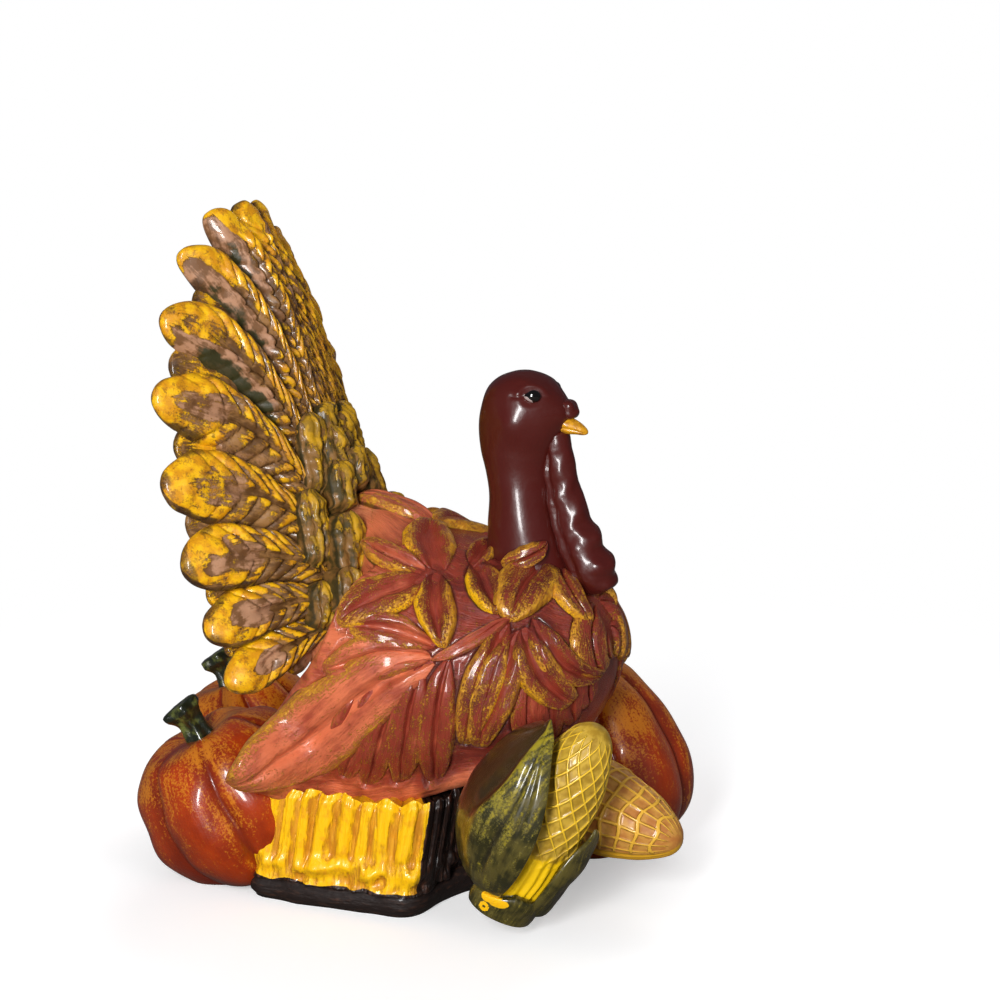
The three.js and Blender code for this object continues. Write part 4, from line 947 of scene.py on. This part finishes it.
def neck_and_head():
    """Rings up the neck into the head, with sockets, lids, brows and cheeks, and a swelling under the snood.
    Each row gives height, middle, half-length and half-width."""
    rows = [
        (NECK_TOP - 14, NECK_X + 3, 12, 8),
        (NECK_TOP - 7, NECK_X + 3, 12.5, 9.4),
        (NECK_TOP - 1, NECK_X + 2.6, 11.8, 10.2),
        (NECK_TOP + 6, NECK_X + 1.9, 10.3, 10.0),
        (NECK_TOP + 14, NECK_X + 1.2, 9.2, 9.2),
        (NECK_TOP + 22, NECK_X + 0.2, 9.2, 8.7),
        (HEAD_BASE - 2, HEAD_X - 1.5, 10.4, 9.4),
        (HEAD_BASE + 4, HEAD_X - 0.6, 11.8, 10.4),
        (HEAD_BASE + 9.5, HEAD_X - 0.1, 11.9, 10.5),
        (HEAD_BASE + 14.5, HEAD_X, 10.4, 9.4),
        (HEAD_BASE + 18, HEAD_X, 7.0, 6.5),
        (HEAD_BASE + 19.8, HEAD_X, 2.8, 2.6),
        (HEAD_BASE + 20, HEAD_X, 0.1, 0.1)]
    ring = spline(rows, linspace(0, 1, 150))
    turn = around(160)
    z, x, half_x, half_y = (ring[:, k, None] for k in range(4))
    points = xyz(x + half_x * cos(turn), half_y * sin(turn), z)
    push = 0
    for hand in (RIGHT, LEFT):
        dx, dy, dz = (points[..., k] - (EYE * [1, hand, 1])[k] for k in range(3))
        beside = bump(dy, 6)
        spread = sqrt((dx / 1.25) ** 2 + (0.7 * dy) ** 2 + dz ** 2)
        lids = 0.25 * bump(spread - 3.3, 0.8) * (1 + 0.5 * sign(dz))
        brow = 0.7 * bump(dz - 3.2 + 0.3 * dx, 1.1) * smooth(-8, -4, dx) * smooth(4, 0, dx) * beside
        corner = 0.4 * bump(dz - 0.4 - 0.1 * dx, 0.5) * smooth(-7, -5, dx) * smooth(-1.8, -2.8, dx) * beside
        cheek = 0.9 * bump(hypot(dx + 5, dz + 7), 4.0) * bump(dy, 7)
        push = push - 0.8 * bump(spread, 2.6) + lids + brow - corner + cheek
    root = hypot(points[..., 1] / 1.2, points[..., 2] - (BEAK_Z + 4.6))
    push = push + 2.2 * bump(root, 4.4) * smooth(0.3, 1.0, cos(turn))
    outward = xyz(cos(turn), sin(turn), 0)
    return uneven(points + outward * push[..., None], 0.22, 13, 51), {}


def eye(hand):
    """Almond bead let into its socket, drawn out to the rear, pale at the lower rear corner."""
    share = pi * column(0.02, 0.98, 40)
    turn = around(48)
    dx = 2.2 * sin(share) * cos(turn)
    dz = 1.75 * sin(share) * sin(turn) * (1 - 0.35 * smooth(0.5, -2.2, dx))
    dy = 1.3 * cos(share)
    points = xyz(EYE[0] + dx, hand * (EYE[1] - 0.2 + dy - 0.2 * dx), EYE[2] + dz)
    pale = smooth(1.0, 1.5, hypot(dx - 0.5, dz - 0.4)) * smooth(0.4, -0.3, dz) * smooth(0.8, -0.2, dx)
    return points, {"pale": pale}


def beak():
    """Short hooked cone with a mouth line pressed along each side."""
    share = column(0, 1, 50)
    turn = around(56)
    fat = oval(share, 1.7) * 0.97 + 0.03
    mouth = 0.4 * bump(sin(turn) + 0.25, 0.16) * fat
    z = BEAK_Z + 1.4 - 2.0 * share ** 2 + 2.7 * fat * sin(turn)
    return uneven(xyz(BEAK_ROOT_X + 9.6 * share, (3.1 * fat - mouth) * cos(turn), z), 0.12, 4, 61), {}


def snood():
    """Fleshy knob that grows out of the forehead above the beak: a tapering tube with a blunt square end."""
    share = column(0, 1, 60)
    turn = around(48)
    size = lerp(5.2, 2.7, smooth(0.1, 0.75, share)) * oval(maximum(share - 0.74, 0) / 0.2604, 2.8)
    size = size * (1 + 0.14 * sin(2 * turn) ** 2)
    x = BEAK_ROOT_X - 3.6 + 10.2 * share - 0.5 * sin(turn) * share
    z = BEAK_Z + 5.0 + 0.5 * share + 0.95 * size * sin(turn)
    return uneven(xyz(x, 1.05 * size * cos(turn), z), 0.25, 4, 71), {}


def wattle():
    """Flap hanging from the throat onto the breast: a corded rear edge beside a seam, and soft lumps that
    swell toward the front foot. Each row gives middle, height and half-width."""
    rows = [
        (39.6, BEAK_Z - 0.5, 4.2), (40.8, BEAK_Z - 7, 4.5), (42.0, BEAK_Z - 15, 4.9),
        (44.4, BEAK_Z - 24, 5.8), (47.8, BEAK_Z - 32, 6.6), (51.2, BEAK_Z - 39, 6.7),
        (52.8, BEAK_Z - 45, 5.4)]
    share = column(0.004, 0.996, 150)
    turn = around(110)
    ring = spline(rows, share[:, 0])
    middle, height, width = (ring[:, k, None] for k in range(3))
    width = width * oval(maximum(share - 0.86, 0) / 0.141) * oval(maximum(0.05 - share, 0) / 0.054)
    foot = smooth(0.42, 0.62, share)
    below = smooth(0.02, 0.12, share)
    lump = sin(pi * (share - 0.36 + 0.02 * sin(2 * turn)) / 0.165) ** 2 * foot
    cord = bump(cos(turn) + 0.62, 0.13) * below
    seam = bump(cos(turn) + 0.35, 0.13) * below
    radius = width + 1.3 * (lump - 0.5 * foot) * smooth(0.1, 1.0, cos(turn)) + 0.55 * cord - 0.45 * seam
    ahead = radius * cos(turn)
    points = xyz(middle + ahead, 0.85 * radius * sin(turn), height + 0.15 * ahead)
    pits = 0.14 * wobble(points, 4.0, 83) + 0.04 * wobble(points, 1.8, 84)
    return uneven(points + pits[..., None] * xyz(cos(turn), sin(turn), 0), 0.35, 7, 81), {}


# Pumpkins and corn

# Place along X and Y, half height, radius, tilt back, lean out, ribs, narrowing to the top, extra rubbed gold
PUMPKINS = {
    "near": (-46.5, -26.5, 25, 26.5, 0.42, 0.2, 6, 0.0, 0.0),
    "far": (-66, 25, 24, 22, 0.35, 0.1, 8, 0.0, 0.2),
    "front": (41, 34, 31, 24.5, 0.35, 0.0, 7, 0.24, 0.38),
}


def pumpkin_frame(x, y, half_height, tilt, lean):
    """Middle of a pumpkin, its stem direction, tipped back toward -X and out toward -Y, and two across it."""
    return array([x, y, half_height * 0.93]), *frame_about([-sin(tilt), -sin(lean), cos(tilt)])


def pumpkin(x, y, half_height, radius, tilt, lean, ribs, pear, rub):
    """Ball turned about a tipped axis: full ribs between narrow grooves, dimpled at the stem, flat on the
    table."""
    middle, axis, ahead, other = pumpkin_frame(x, y, half_height, tilt, lean)
    polar = pi * column(0.02, 0.985, 130)
    turn = around(30 * ribs)
    swing = turn + 0.12 * sin(3 * turn + x) + 0.06 * sin(5 * turn)
    rib = abs(sin(swing * ribs / 2))
    groove = 0.15 * (1 - rib ** 0.6) * sin(polar) ** 0.3
    across = radius * sin(polar) ** 0.85 * (1 - groove) * (1 - pear * cos(polar))
    dip = where(polar < pi / 2, 5 * bump(sin(polar), 0.4), 2 * bump(sin(polar), 0.3))
    height = half_height * cos(polar) - dip * sign(pi / 2 - polar)
    points = middle + height[..., None] * axis + spokes(across, turn, ahead, other)
    points = uneven(points, 0.7, 14, int(abs(x)))
    points[..., 2] = maximum(points[..., 2], 0.0)
    shoulder = smooth(0.75, 0.15, polar / pi) * (0.45 + 0.5 * rib)
    hollow = (1 - rib) ** 1.5 * (0.4 + 0.6 * sin(polar))
    # The crease mask is painted shade in the grooves between ribs and toward the bottom.
    masks = {"gold": shoulder + 0.45 * bump(rib - 0.5, 0.2) + rub * smooth(0.3, 0.7, rib),
             "crease_and_shade": hollow + 0.35 * smooth(0.6, 0.85, polar / pi)}
    return points, masks | brush(half_height * polar, radius * turn)


def stem(x, y, half_height, tilt, lean):
    """Fluted stub waisted above its foot, bent back and cut off at a slope."""
    middle, axis, ahead, other = pumpkin_frame(x, y, half_height, tilt, lean)
    share = column(0, 1, 60)
    turn = around(72)
    flare = 5.2 - 1.7 * sin(0.8 * pi * minimum(share * 1.25, 1)) + 0.8 * smooth(0.6, 0.9, share)
    size = flare * (1 + 0.10 * cos(6 * turn)) * oval(maximum(share - 0.93, 0) / 0.0707, 3)
    centre = middle + (half_height - 7.5 + 12.5 * share[..., None]) * axis
    bent = xyz(-2.0 * share ** 2, 0, 0.3 * size * cos(turn) * share)
    return uneven(centre + bent + spokes(size, turn, ahead, other), 0.3, 5, int(abs(x)) + 5), {}


def cob_radius(share, radius):
    """Blunt foot, widest two fifths up, drawn in to a rounded tip."""
    away = share - 0.4
    return radius * oval(away / where(away < 0, 0.62, 0.605), 2.2)


def lattice(first, second, width):
    """Raised lines where either pattern coordinate passes a whole number."""
    return maximum(*(bump(value - np.round(value), width) for value in (first, second)))


def cob(foot, direction, length, radius, slanted, plain_at, plain_reach, plain_end):
    """Cob of revolution with a raised lattice, slanted or square, smooth round one turn as far as a share of
    its length."""
    along, sideways, other = frame_about(direction)
    share = column(0.01, 0.997, 200)
    turn = around(260)
    sway = 0.06 * sin(5 * turn + 9 * share)
    if slanted:
        line = lattice(7 * turn / pi + 9.5 * share + sway, 7 * turn / pi - 9.5 * share + sway, 0.10)
        profile = cob_radius(share, 1)
    else:
        line = lattice(9 * turn / pi, 8.0 * share + 2 * sway, 0.13)
        profile = oval(share, 1.9) * smooth(-0.5, 0.25, share)
    off = abs((turn - plain_at + pi) % (2 * pi) - pi)
    plain = smooth(plain_reach, plain_reach - 0.4, off) * smooth(plain_end, plain_end - 0.35, share)
    line = line * (1 - plain) * smooth(0.0, 0.06, share) * smooth(1.0, 0.93, share)
    folds = 0.35 * plain * sin(26 * turn)
    size = (radius + 0.5 * (line - 0.5) + folds) * profile
    points = foot + (length * share)[..., None] * along + spokes(size, turn, sideways, other)
    return uneven(points, 0.3, 11, 91), {"line": line, "plain": plain}


def drip_mark(x, z):
    """Spilled paint at the foot of the husk: a heart of two round lobes with a tail, and a small ring beside
    it."""
    dx, dz = x - DRIP_X, z - DRIP_Z
    lobes = minimum(hypot(dx + 1.4, dz - 0.5), hypot(dx - 0.9, dz + 0.3) / 1.15) / 1.7
    tail = hypot((dx - 2.4) / 2.2, (dz + 1.4) / 1.2)
    ring = abs(hypot(dx + 2.4, dz + 2.6) - 0.9) / 0.5
    return smooth(1.2, 0.8, minimum(minimum(lobes, tail), ring))


def husk(turn, span, start, end, flare, tip_out, seed, folds=0.2):
    """Leaf wrapped part way round the upright cob: closed like a bud at the foot, blunt and free at its tip,
    with a flat facet on the left and creases beside it as far as folds says."""
    thickness = 2.6
    along, sideways, other = frame_about(COB_DIRECTION)
    t = even_rows(120)
    c, upper = pad_columns(80, 16)
    grown = smooth(0.15, 0.4, t)

    # Outline and stand-off from the cob
    reach = lerp(start, end, t) - 0.05 * smooth(0.2, -1.0, c) * smooth(0.5, 1, t)
    width = span * where(t < 0.36, 0.78 + 0.22 * sin(pi * t / 0.72), oval((t - 0.36) / 0.641, 2.8))
    free = maximum(t - 0.1, 0) / 0.9
    bulge = flare * sin(pi * free ** 0.85) ** 1.2 * (1 - 0.35 * c) + tip_out * free
    bud = smooth(0.0, 0.2, t) ** 0.6
    inner = (cob_radius(clip(reach, 0.02, 0.9), COB_RADIUS) + 0.3) * bud + bulge

    # Facet, creases and veins
    facet = smooth(0.40, 0.28, c + 0.10 * sin(6 * t) - 0.25 * (t - 0.6)) * smooth(0.34, 0.5, t) * folds
    fold = bump(c - 0.42 - 0.2 * (t - 0.6), 0.09)
    fold = fold - 1.1 * bump(c - 0.56 - 0.15 * t, 0.045) - 0.9 * bump(c - 0.8, 0.04)
    veins = abs(sin(13 * c + seed + 2 * t)) - 0.6
    crown = oval(c, 4) * oval(2 * t - 1, 8)
    patch = wobble(xyz(reach * 50, c * 12, seed), 13, int(seed * 3) + 2)
    relief = (0.9 * fold * grown * smooth(0.97, 0.8, t) + 0.22 * veins) * smooth(1.0, 0.8, abs(c))
    relief = folds * relief * (1 - 0.7 * facet) + 0.6 * patch - 1.2 * facet
    shell = where(upper > 0, thickness * (0.3 + 0.7 * crown) + relief * crown, thickness * 0.2)
    height = COB_LENGTH * reach
    points = COB_FOOT + height[..., None] * along + spokes(inner + shell, turn + c * width, sideways, other)
    points[..., 2] = maximum(points[..., 2], 0.0)

    # Paint masks
    shoulder = smooth(0.25, 0.45, c) * smooth(0.3, 0.6, t)
    rubbed = 0.6 * (1 - 0.7 * smooth(0.6, 0.85, c)) + 0.4 * smooth(0.75, 0.95, t)
    # The crease mask is painted shade in the grooves; the facet mask carries painted brown shade.
    masks = {"gold": folds * shoulder * rubbed + 0.1, "crease_and_shade": folds * clip(-fold, 0, 1) * crown * grown,
             "facet": facet, "drip": drip_mark(points[..., 0], points[..., 2]) * upper}
    return points, masks | brush(height, COB_RADIUS * c * width, seed)


# Bale and slab

def rounded_box(half_x, half_y, corner, count):
    """Plan outline of a box with rounded corners, from a high-power oval, as count points."""
    turn = around(count)[0]
    power = 2 / corner
    return np.stack([half * sign(wave) * abs(wave) ** power
                     for half, wave in ((half_x, cos(turn)), (half_y, sin(turn)))], -1)


def bale():
    """Box of straw leaning forward: straight upright ribs of uneven depth, a ragged top edge, a lumpy foot.
    Rows climb the wall, then run in over the top."""
    wall_rows, top_rows, columns = 90, 26, 760
    rib_pitch, straw_pitch = 5.8, 1.7
    upright, level = [1, 1, 0.06], [1, 1, 0]

    # Evenly spaced outline
    dense = rounded_box(BALE_LENGTH / 2, BALE_WIDTH / 2, 12, 6000)
    walked = concatenate([[0], np.cumsum(norm(np.diff(dense, axis=0), axis=1))])
    run = linspace(0, walked[-1], columns, endpoint=False)
    plan = np.stack([np.interp(run, walked, dense[:, k]) for k in range(2)], -1)
    outward = plan / norm(plan, axis=1, keepdims=True)
    climb = concatenate([column(0, 1, wall_rows), np.ones((top_rows, 1))])
    inward = concatenate([np.ones((wall_rows, 1)), column(1, 0.02, top_rows)])
    on_top = np.arange(wall_rows + top_rows)[:, None] >= wall_rows
    place = xyz(plan[:, 0], plan[:, 1], BALE_HEIGHT * climb)

    # Ribs, straws, lumps and the ragged edge
    sway = 1.6 * wobble(place * upright, 17, 101) + 0.3 * wobble(place * [1, 1, 0.5], 8, 102)
    rib = abs(cos(pi * (run + sway) / rib_pitch)) ** 0.8
    straw = abs(sin(pi * (run + 1.5 * sway) / straw_pitch))
    deep = 1.0 + 0.7 * wobble(place * [1, 1, 0.15], 11, 103)
    lumps = smooth(0.48, 0.12, climb + 0.14 * wobble(place, 10, 109))
    knobs = wobble(place * [1, 1, 1.2], 9, 105) + 0.5 * wobble(place, 4.5, 106)
    rim = smooth(0.88, 1.0, climb)
    push = (2.0 * (rib - 0.6) * deep + 0.4 * straw) * (1 - 0.7 * lumps) + 2.0 * knobs * lumps
    push = push - 1.2 * rim ** 2 + 1.0 * lumps
    ragged = 1.6 * wobble(place * level, 7, 107) + 1.2 * (rib - 0.5)
    spread = plan * inward[..., None] + outward * (push * inward)[..., None]
    lean = BALE_LEAN * BALE_HEIGHT * (climb - 0.5)
    sunk = BALE_TOP + ragged * inward - 4 * smooth(1.0, 0.9, inward)
    z = where(on_top, sunk, BALE_BOTTOM + climb * (BALE_HEIGHT + ragged))
    points = xyz(BALE_MID_X + spread[..., 0] + lean, spread[..., 1], z)

    # Paint masks
    end = smooth(BALE_LENGTH / 2 - 2.2, BALE_LENGTH / 2 - 0.6, plan[:, 0])
    foot = smooth(0.05, 0.0, climb + 0.03 * wobble(place * level, 6, 108))
    lit = (0.9 * rib - 0.1) * (1 - lumps) + lumps * (0.55 + 0.4 * knobs) + 0.5 * rim
    return points, {"gold": clip(lit, 0, 1.2), "bare": maximum(end, foot)}


def slab():
    """Low plinth flush with the bale, drawn out fore and aft, with a soft uneven edge."""
    nose, tail, pivot = 13, 27, 16
    share = array([0, 0.08, 0.2, 0.35, 0.5, 0.65, 0.8, 0.9, 0.97, 1.0])[:, None]
    x, y = rounded_box(BALE_LENGTH / 2 + 0.6, BALE_WIDTH / 2 + 0.4, 9, 500).T
    x = x + nose * smooth(0, 20, x) * bump(y, 15) - tail * smooth(0, -20, x) * bump(y, 22)
    draw = 1 - 0.02 * smooth(0.7, 1, share) ** 2 - 0.04 * smooth(0.4, 0, share)
    lean = BALE_LEAN * (SLAB_TOP * share - pivot)
    points = xyz(BALE_MID_X + x * draw + lean, y * draw, SLAB_TOP * share)
    swell = 1 + 0.02 * wobble(points * [1, 1, 0.5], 13, 112)
    points[..., :2] = (points[..., :2] - [BALE_MID_X, 0]) * swell[..., None] + [BALE_MID_X, 0]
    points[..., 2] *= 1 + 0.16 * wobble(points * [1, 1, 0], 10, 111)
    return points, {}


# The pieces

piece("slab_piece", [slab()], slab_paint, "base_slab", slot="slab_brown")
piece("bale_piece", [bale()], straw_paint, "hay_bale", slot="straw_yellow")
piece("body_piece", [body()], plumage, "body", slot="brick_red")
for hand, side in ((RIGHT, "right"), (LEFT, "left")):
    piece(f"flank_{side}", [flank_sheet(hand)], plumage, f"wing_plate_{side}", slot="salmon")
    for number, (group, rows) in enumerate(LEAVES.items()):
        skins = [leaf(row, hand, 10 * number + k + 1.0) for k, row in enumerate(rows)]
        if group == "shoulder_feathers":
            skins.append(leaf(COLLAR_LEAF, hand, COLLAR_SEED, collar))
        slot = "salmon" if group == "primaries" else "leaf_red"
        piece(f"{group}_{side}_piece", skins, plumage, f"{group}_{side}", slot=slot)
    piece(f"eye_{side}_piece", [eye(hand)], eye_paint, f"eye_{side}", slot="eye_black")

piece("head_piece", [neck_and_head()], flesh, "neck_and_head", slot="maroon")
piece("beak_piece", [beak()], beak_paint, "beak", slot="beak_ochre")
piece("snood_piece", [snood()], flesh, "snood", slot="maroon")
piece("wattle_piece", [wattle()], flesh, "wattle", slot="maroon")

for index in range(FEATHER_COUNT):
    node = f"tail_feather_{index + 1:02d}"
    piece(f"{node}_piece", tail_feather(index - FEATHER_COUNT // 2), fan_paint, node, slot="tail_gold")
for index in range(COVERT_COUNT):
    node = f"tail_covert_{index + 1}"
    piece(f"{node}_piece", covert(index - COVERT_COUNT // 2), covert_paint, node, slot="covert_olive")

for name, spec in PUMPKINS.items():
    stub = stem(*spec[:3], *spec[4:6])
    piece(f"pumpkin_{name}_piece", [pumpkin(*spec)], pumpkin_paint, f"pumpkin_{name}", slot="pumpkin_orange")
    piece(f"stem_{name}_piece", [stub], stem_paint, f"pumpkin_stem_{name}", slot="stem_green")

upright = cob(COB_FOOT, COB_DIRECTION, COB_LENGTH, COB_RADIUS, True, 4.9, 1.4, 0.52)
piece("cob_upright_piece", [upright], corn_paint, "corn_cob_upright", slot="corn_yellow")
lying = cob(SIDE_COB_FOOT, SIDE_COB_DIRECTION, SIDE_COB_LENGTH, SIDE_COB_RADIUS, False, 0.0, 1.1, 1.3)
piece("cob_side_piece", [lying], side_corn_paint, "corn_cob_side", slot="corn_yellow")
husks = {
    "outer": husk(3.6, 1.34, -0.10, 0.94, 7.5, 5, 1.0, folds=1.0),
    "inner": husk(-0.05, 0.62, -0.08, 0.55, 0.8, 1.0, 2.0),
    "front": husk(-1.15, 1.1, -0.08, 0.12, 0.4, 0.0, 3.0, folds=0.0),
}
for name, skin in husks.items():
    piece(f"husk_{name}_piece", [skin], husk_paint, f"husk_leaf_{name}", slot="husk_green")


# Floor, camera and lights

def grey(level):
    """Colour of equal parts."""
    return (level, level, level, 1)


def floor():
    """Wide sheet: pale round the figure, where its shadow lies, white to the camera farther off, dim to the
    figure."""
    reach = 6.0
    shadow_reach = (0.12, 0.34)
    mesh = bpy.data.meshes.new("floor")
    corners = [(-reach, -reach, 0), (reach, -reach, 0), (reach, reach, 0), (-reach, reach, 0)]
    mesh.from_pydata(corners, [], [(0, 1, 2, 3)])
    material = bpy.data.materials.new("floor_paper")
    material.use_nodes = True
    shader = material.node_tree.nodes["Principled BSDF"]
    shader.inputs["Roughness"].default_value = 0.9
    shader.inputs["Specular IOR Level"].default_value = 0.0
    shader.inputs["Emission Strength"].default_value = 1.0
    paint = Paint(material.node_tree)
    seen = paint.add("ShaderNodeLightPath", out="Is Camera Ray")
    distance = paint.add("ShaderNodeVectorMath", {"operation": "LENGTH"}, {0: paint.place()}, out="Value")
    off = paint.band(distance, *shadow_reach)
    near = paint.mix(off, grey(0.85), grey(0))
    glow = paint.mix(off, grey(0.38), grey(1))
    paint.mix(seen, (0.14, 0.13, 0.12, 1), near).into(shader, "Base Color")
    paint.mix(seen, grey(0), glow).into(shader, "Emission Color")
    mesh.materials.append(material)
    thing = bpy.data.objects.new("floor", mesh)
    bpy.context.scene.collection.objects.link(thing)


def world():
    """Dim grey surroundings, white where the camera sees them, darker in the varnish."""
    studio = bpy.data.worlds.new("studio")
    studio.use_nodes = True
    background = studio.node_tree.nodes["Background"]
    paint = Paint(studio.node_tree)
    seen = paint.add("ShaderNodeLightPath", out="Is Camera Ray")
    mirrored = paint.add("ShaderNodeLightPath", out="Is Glossy Ray")
    around_figure = paint.mix(mirrored, (0.2, 0.2, 0.21, 1), (0.07, 0.07, 0.08, 1))
    paint.mix(seen, around_figure, grey(1)).into(background, "Color")
    background.inputs["Strength"].default_value = 1.0
    bpy.context.scene.world = studio


def lamp(name, place, size, tall, power, mirrored=False):
    """Soft oblong lamp aimed at the middle of the figure; only a mirrored one shows in the varnish."""
    light = bpy.data.lights.new(name, "AREA")
    light.shape = "RECTANGLE"
    light.size = size
    light.size_y = tall
    light.energy = power
    thing = bpy.data.objects.new(name, light)
    thing.location = place
    thing.rotation_euler = (Vector((0.0, 0, 0.09)) - Vector(place)).to_track_quat("-Z", "Y").to_euler()
    thing.visible_glossy = mirrored
    bpy.context.scene.collection.objects.link(thing)


def camera():
    """Camera at the photograph's angle: 22 degrees ahead of the bird's right side, 12 above, 0.7 m away."""
    azimuth, elevation, distance = np.radians(22), np.radians(12), 0.7
    sensor, focal_pixels, picture_pixels = 36, 2548, 1000
    target = Vector((0.024, 0, 0.109))
    back = Vector((sin(azimuth) * cos(elevation), -cos(azimuth) * cos(elevation), sin(elevation)))
    data = bpy.data.cameras.new("camera")
    data.sensor_width = sensor
    data.lens = sensor * focal_pixels / picture_pixels
    data.clip_start = 0.01
    thing = bpy.data.objects.new("camera", data)
    thing.location = target + back * distance
    thing.rotation_euler = (-back).to_track_quat("-Z", "Y").to_euler()
    bpy.context.scene.collection.objects.link(thing)
    bpy.context.scene.camera = thing


floor()
world()
camera()
lamp("key", (0.15, -0.89, 0.34), 0.15, 0.5, 9.5, mirrored=True)
lamp("fill", (-0.9, -0.5, 0.4), 0.5, 0.5, 1.2)
lamp("front", (0.8, -0.45, 0.35), 0.5, 0.5, 1.6)
lamp("back", (-0.1, 0.95, 0.5), 0.8, 0.8, 8.0)
bpy.context.scene.view_settings.view_transform = "Standard"
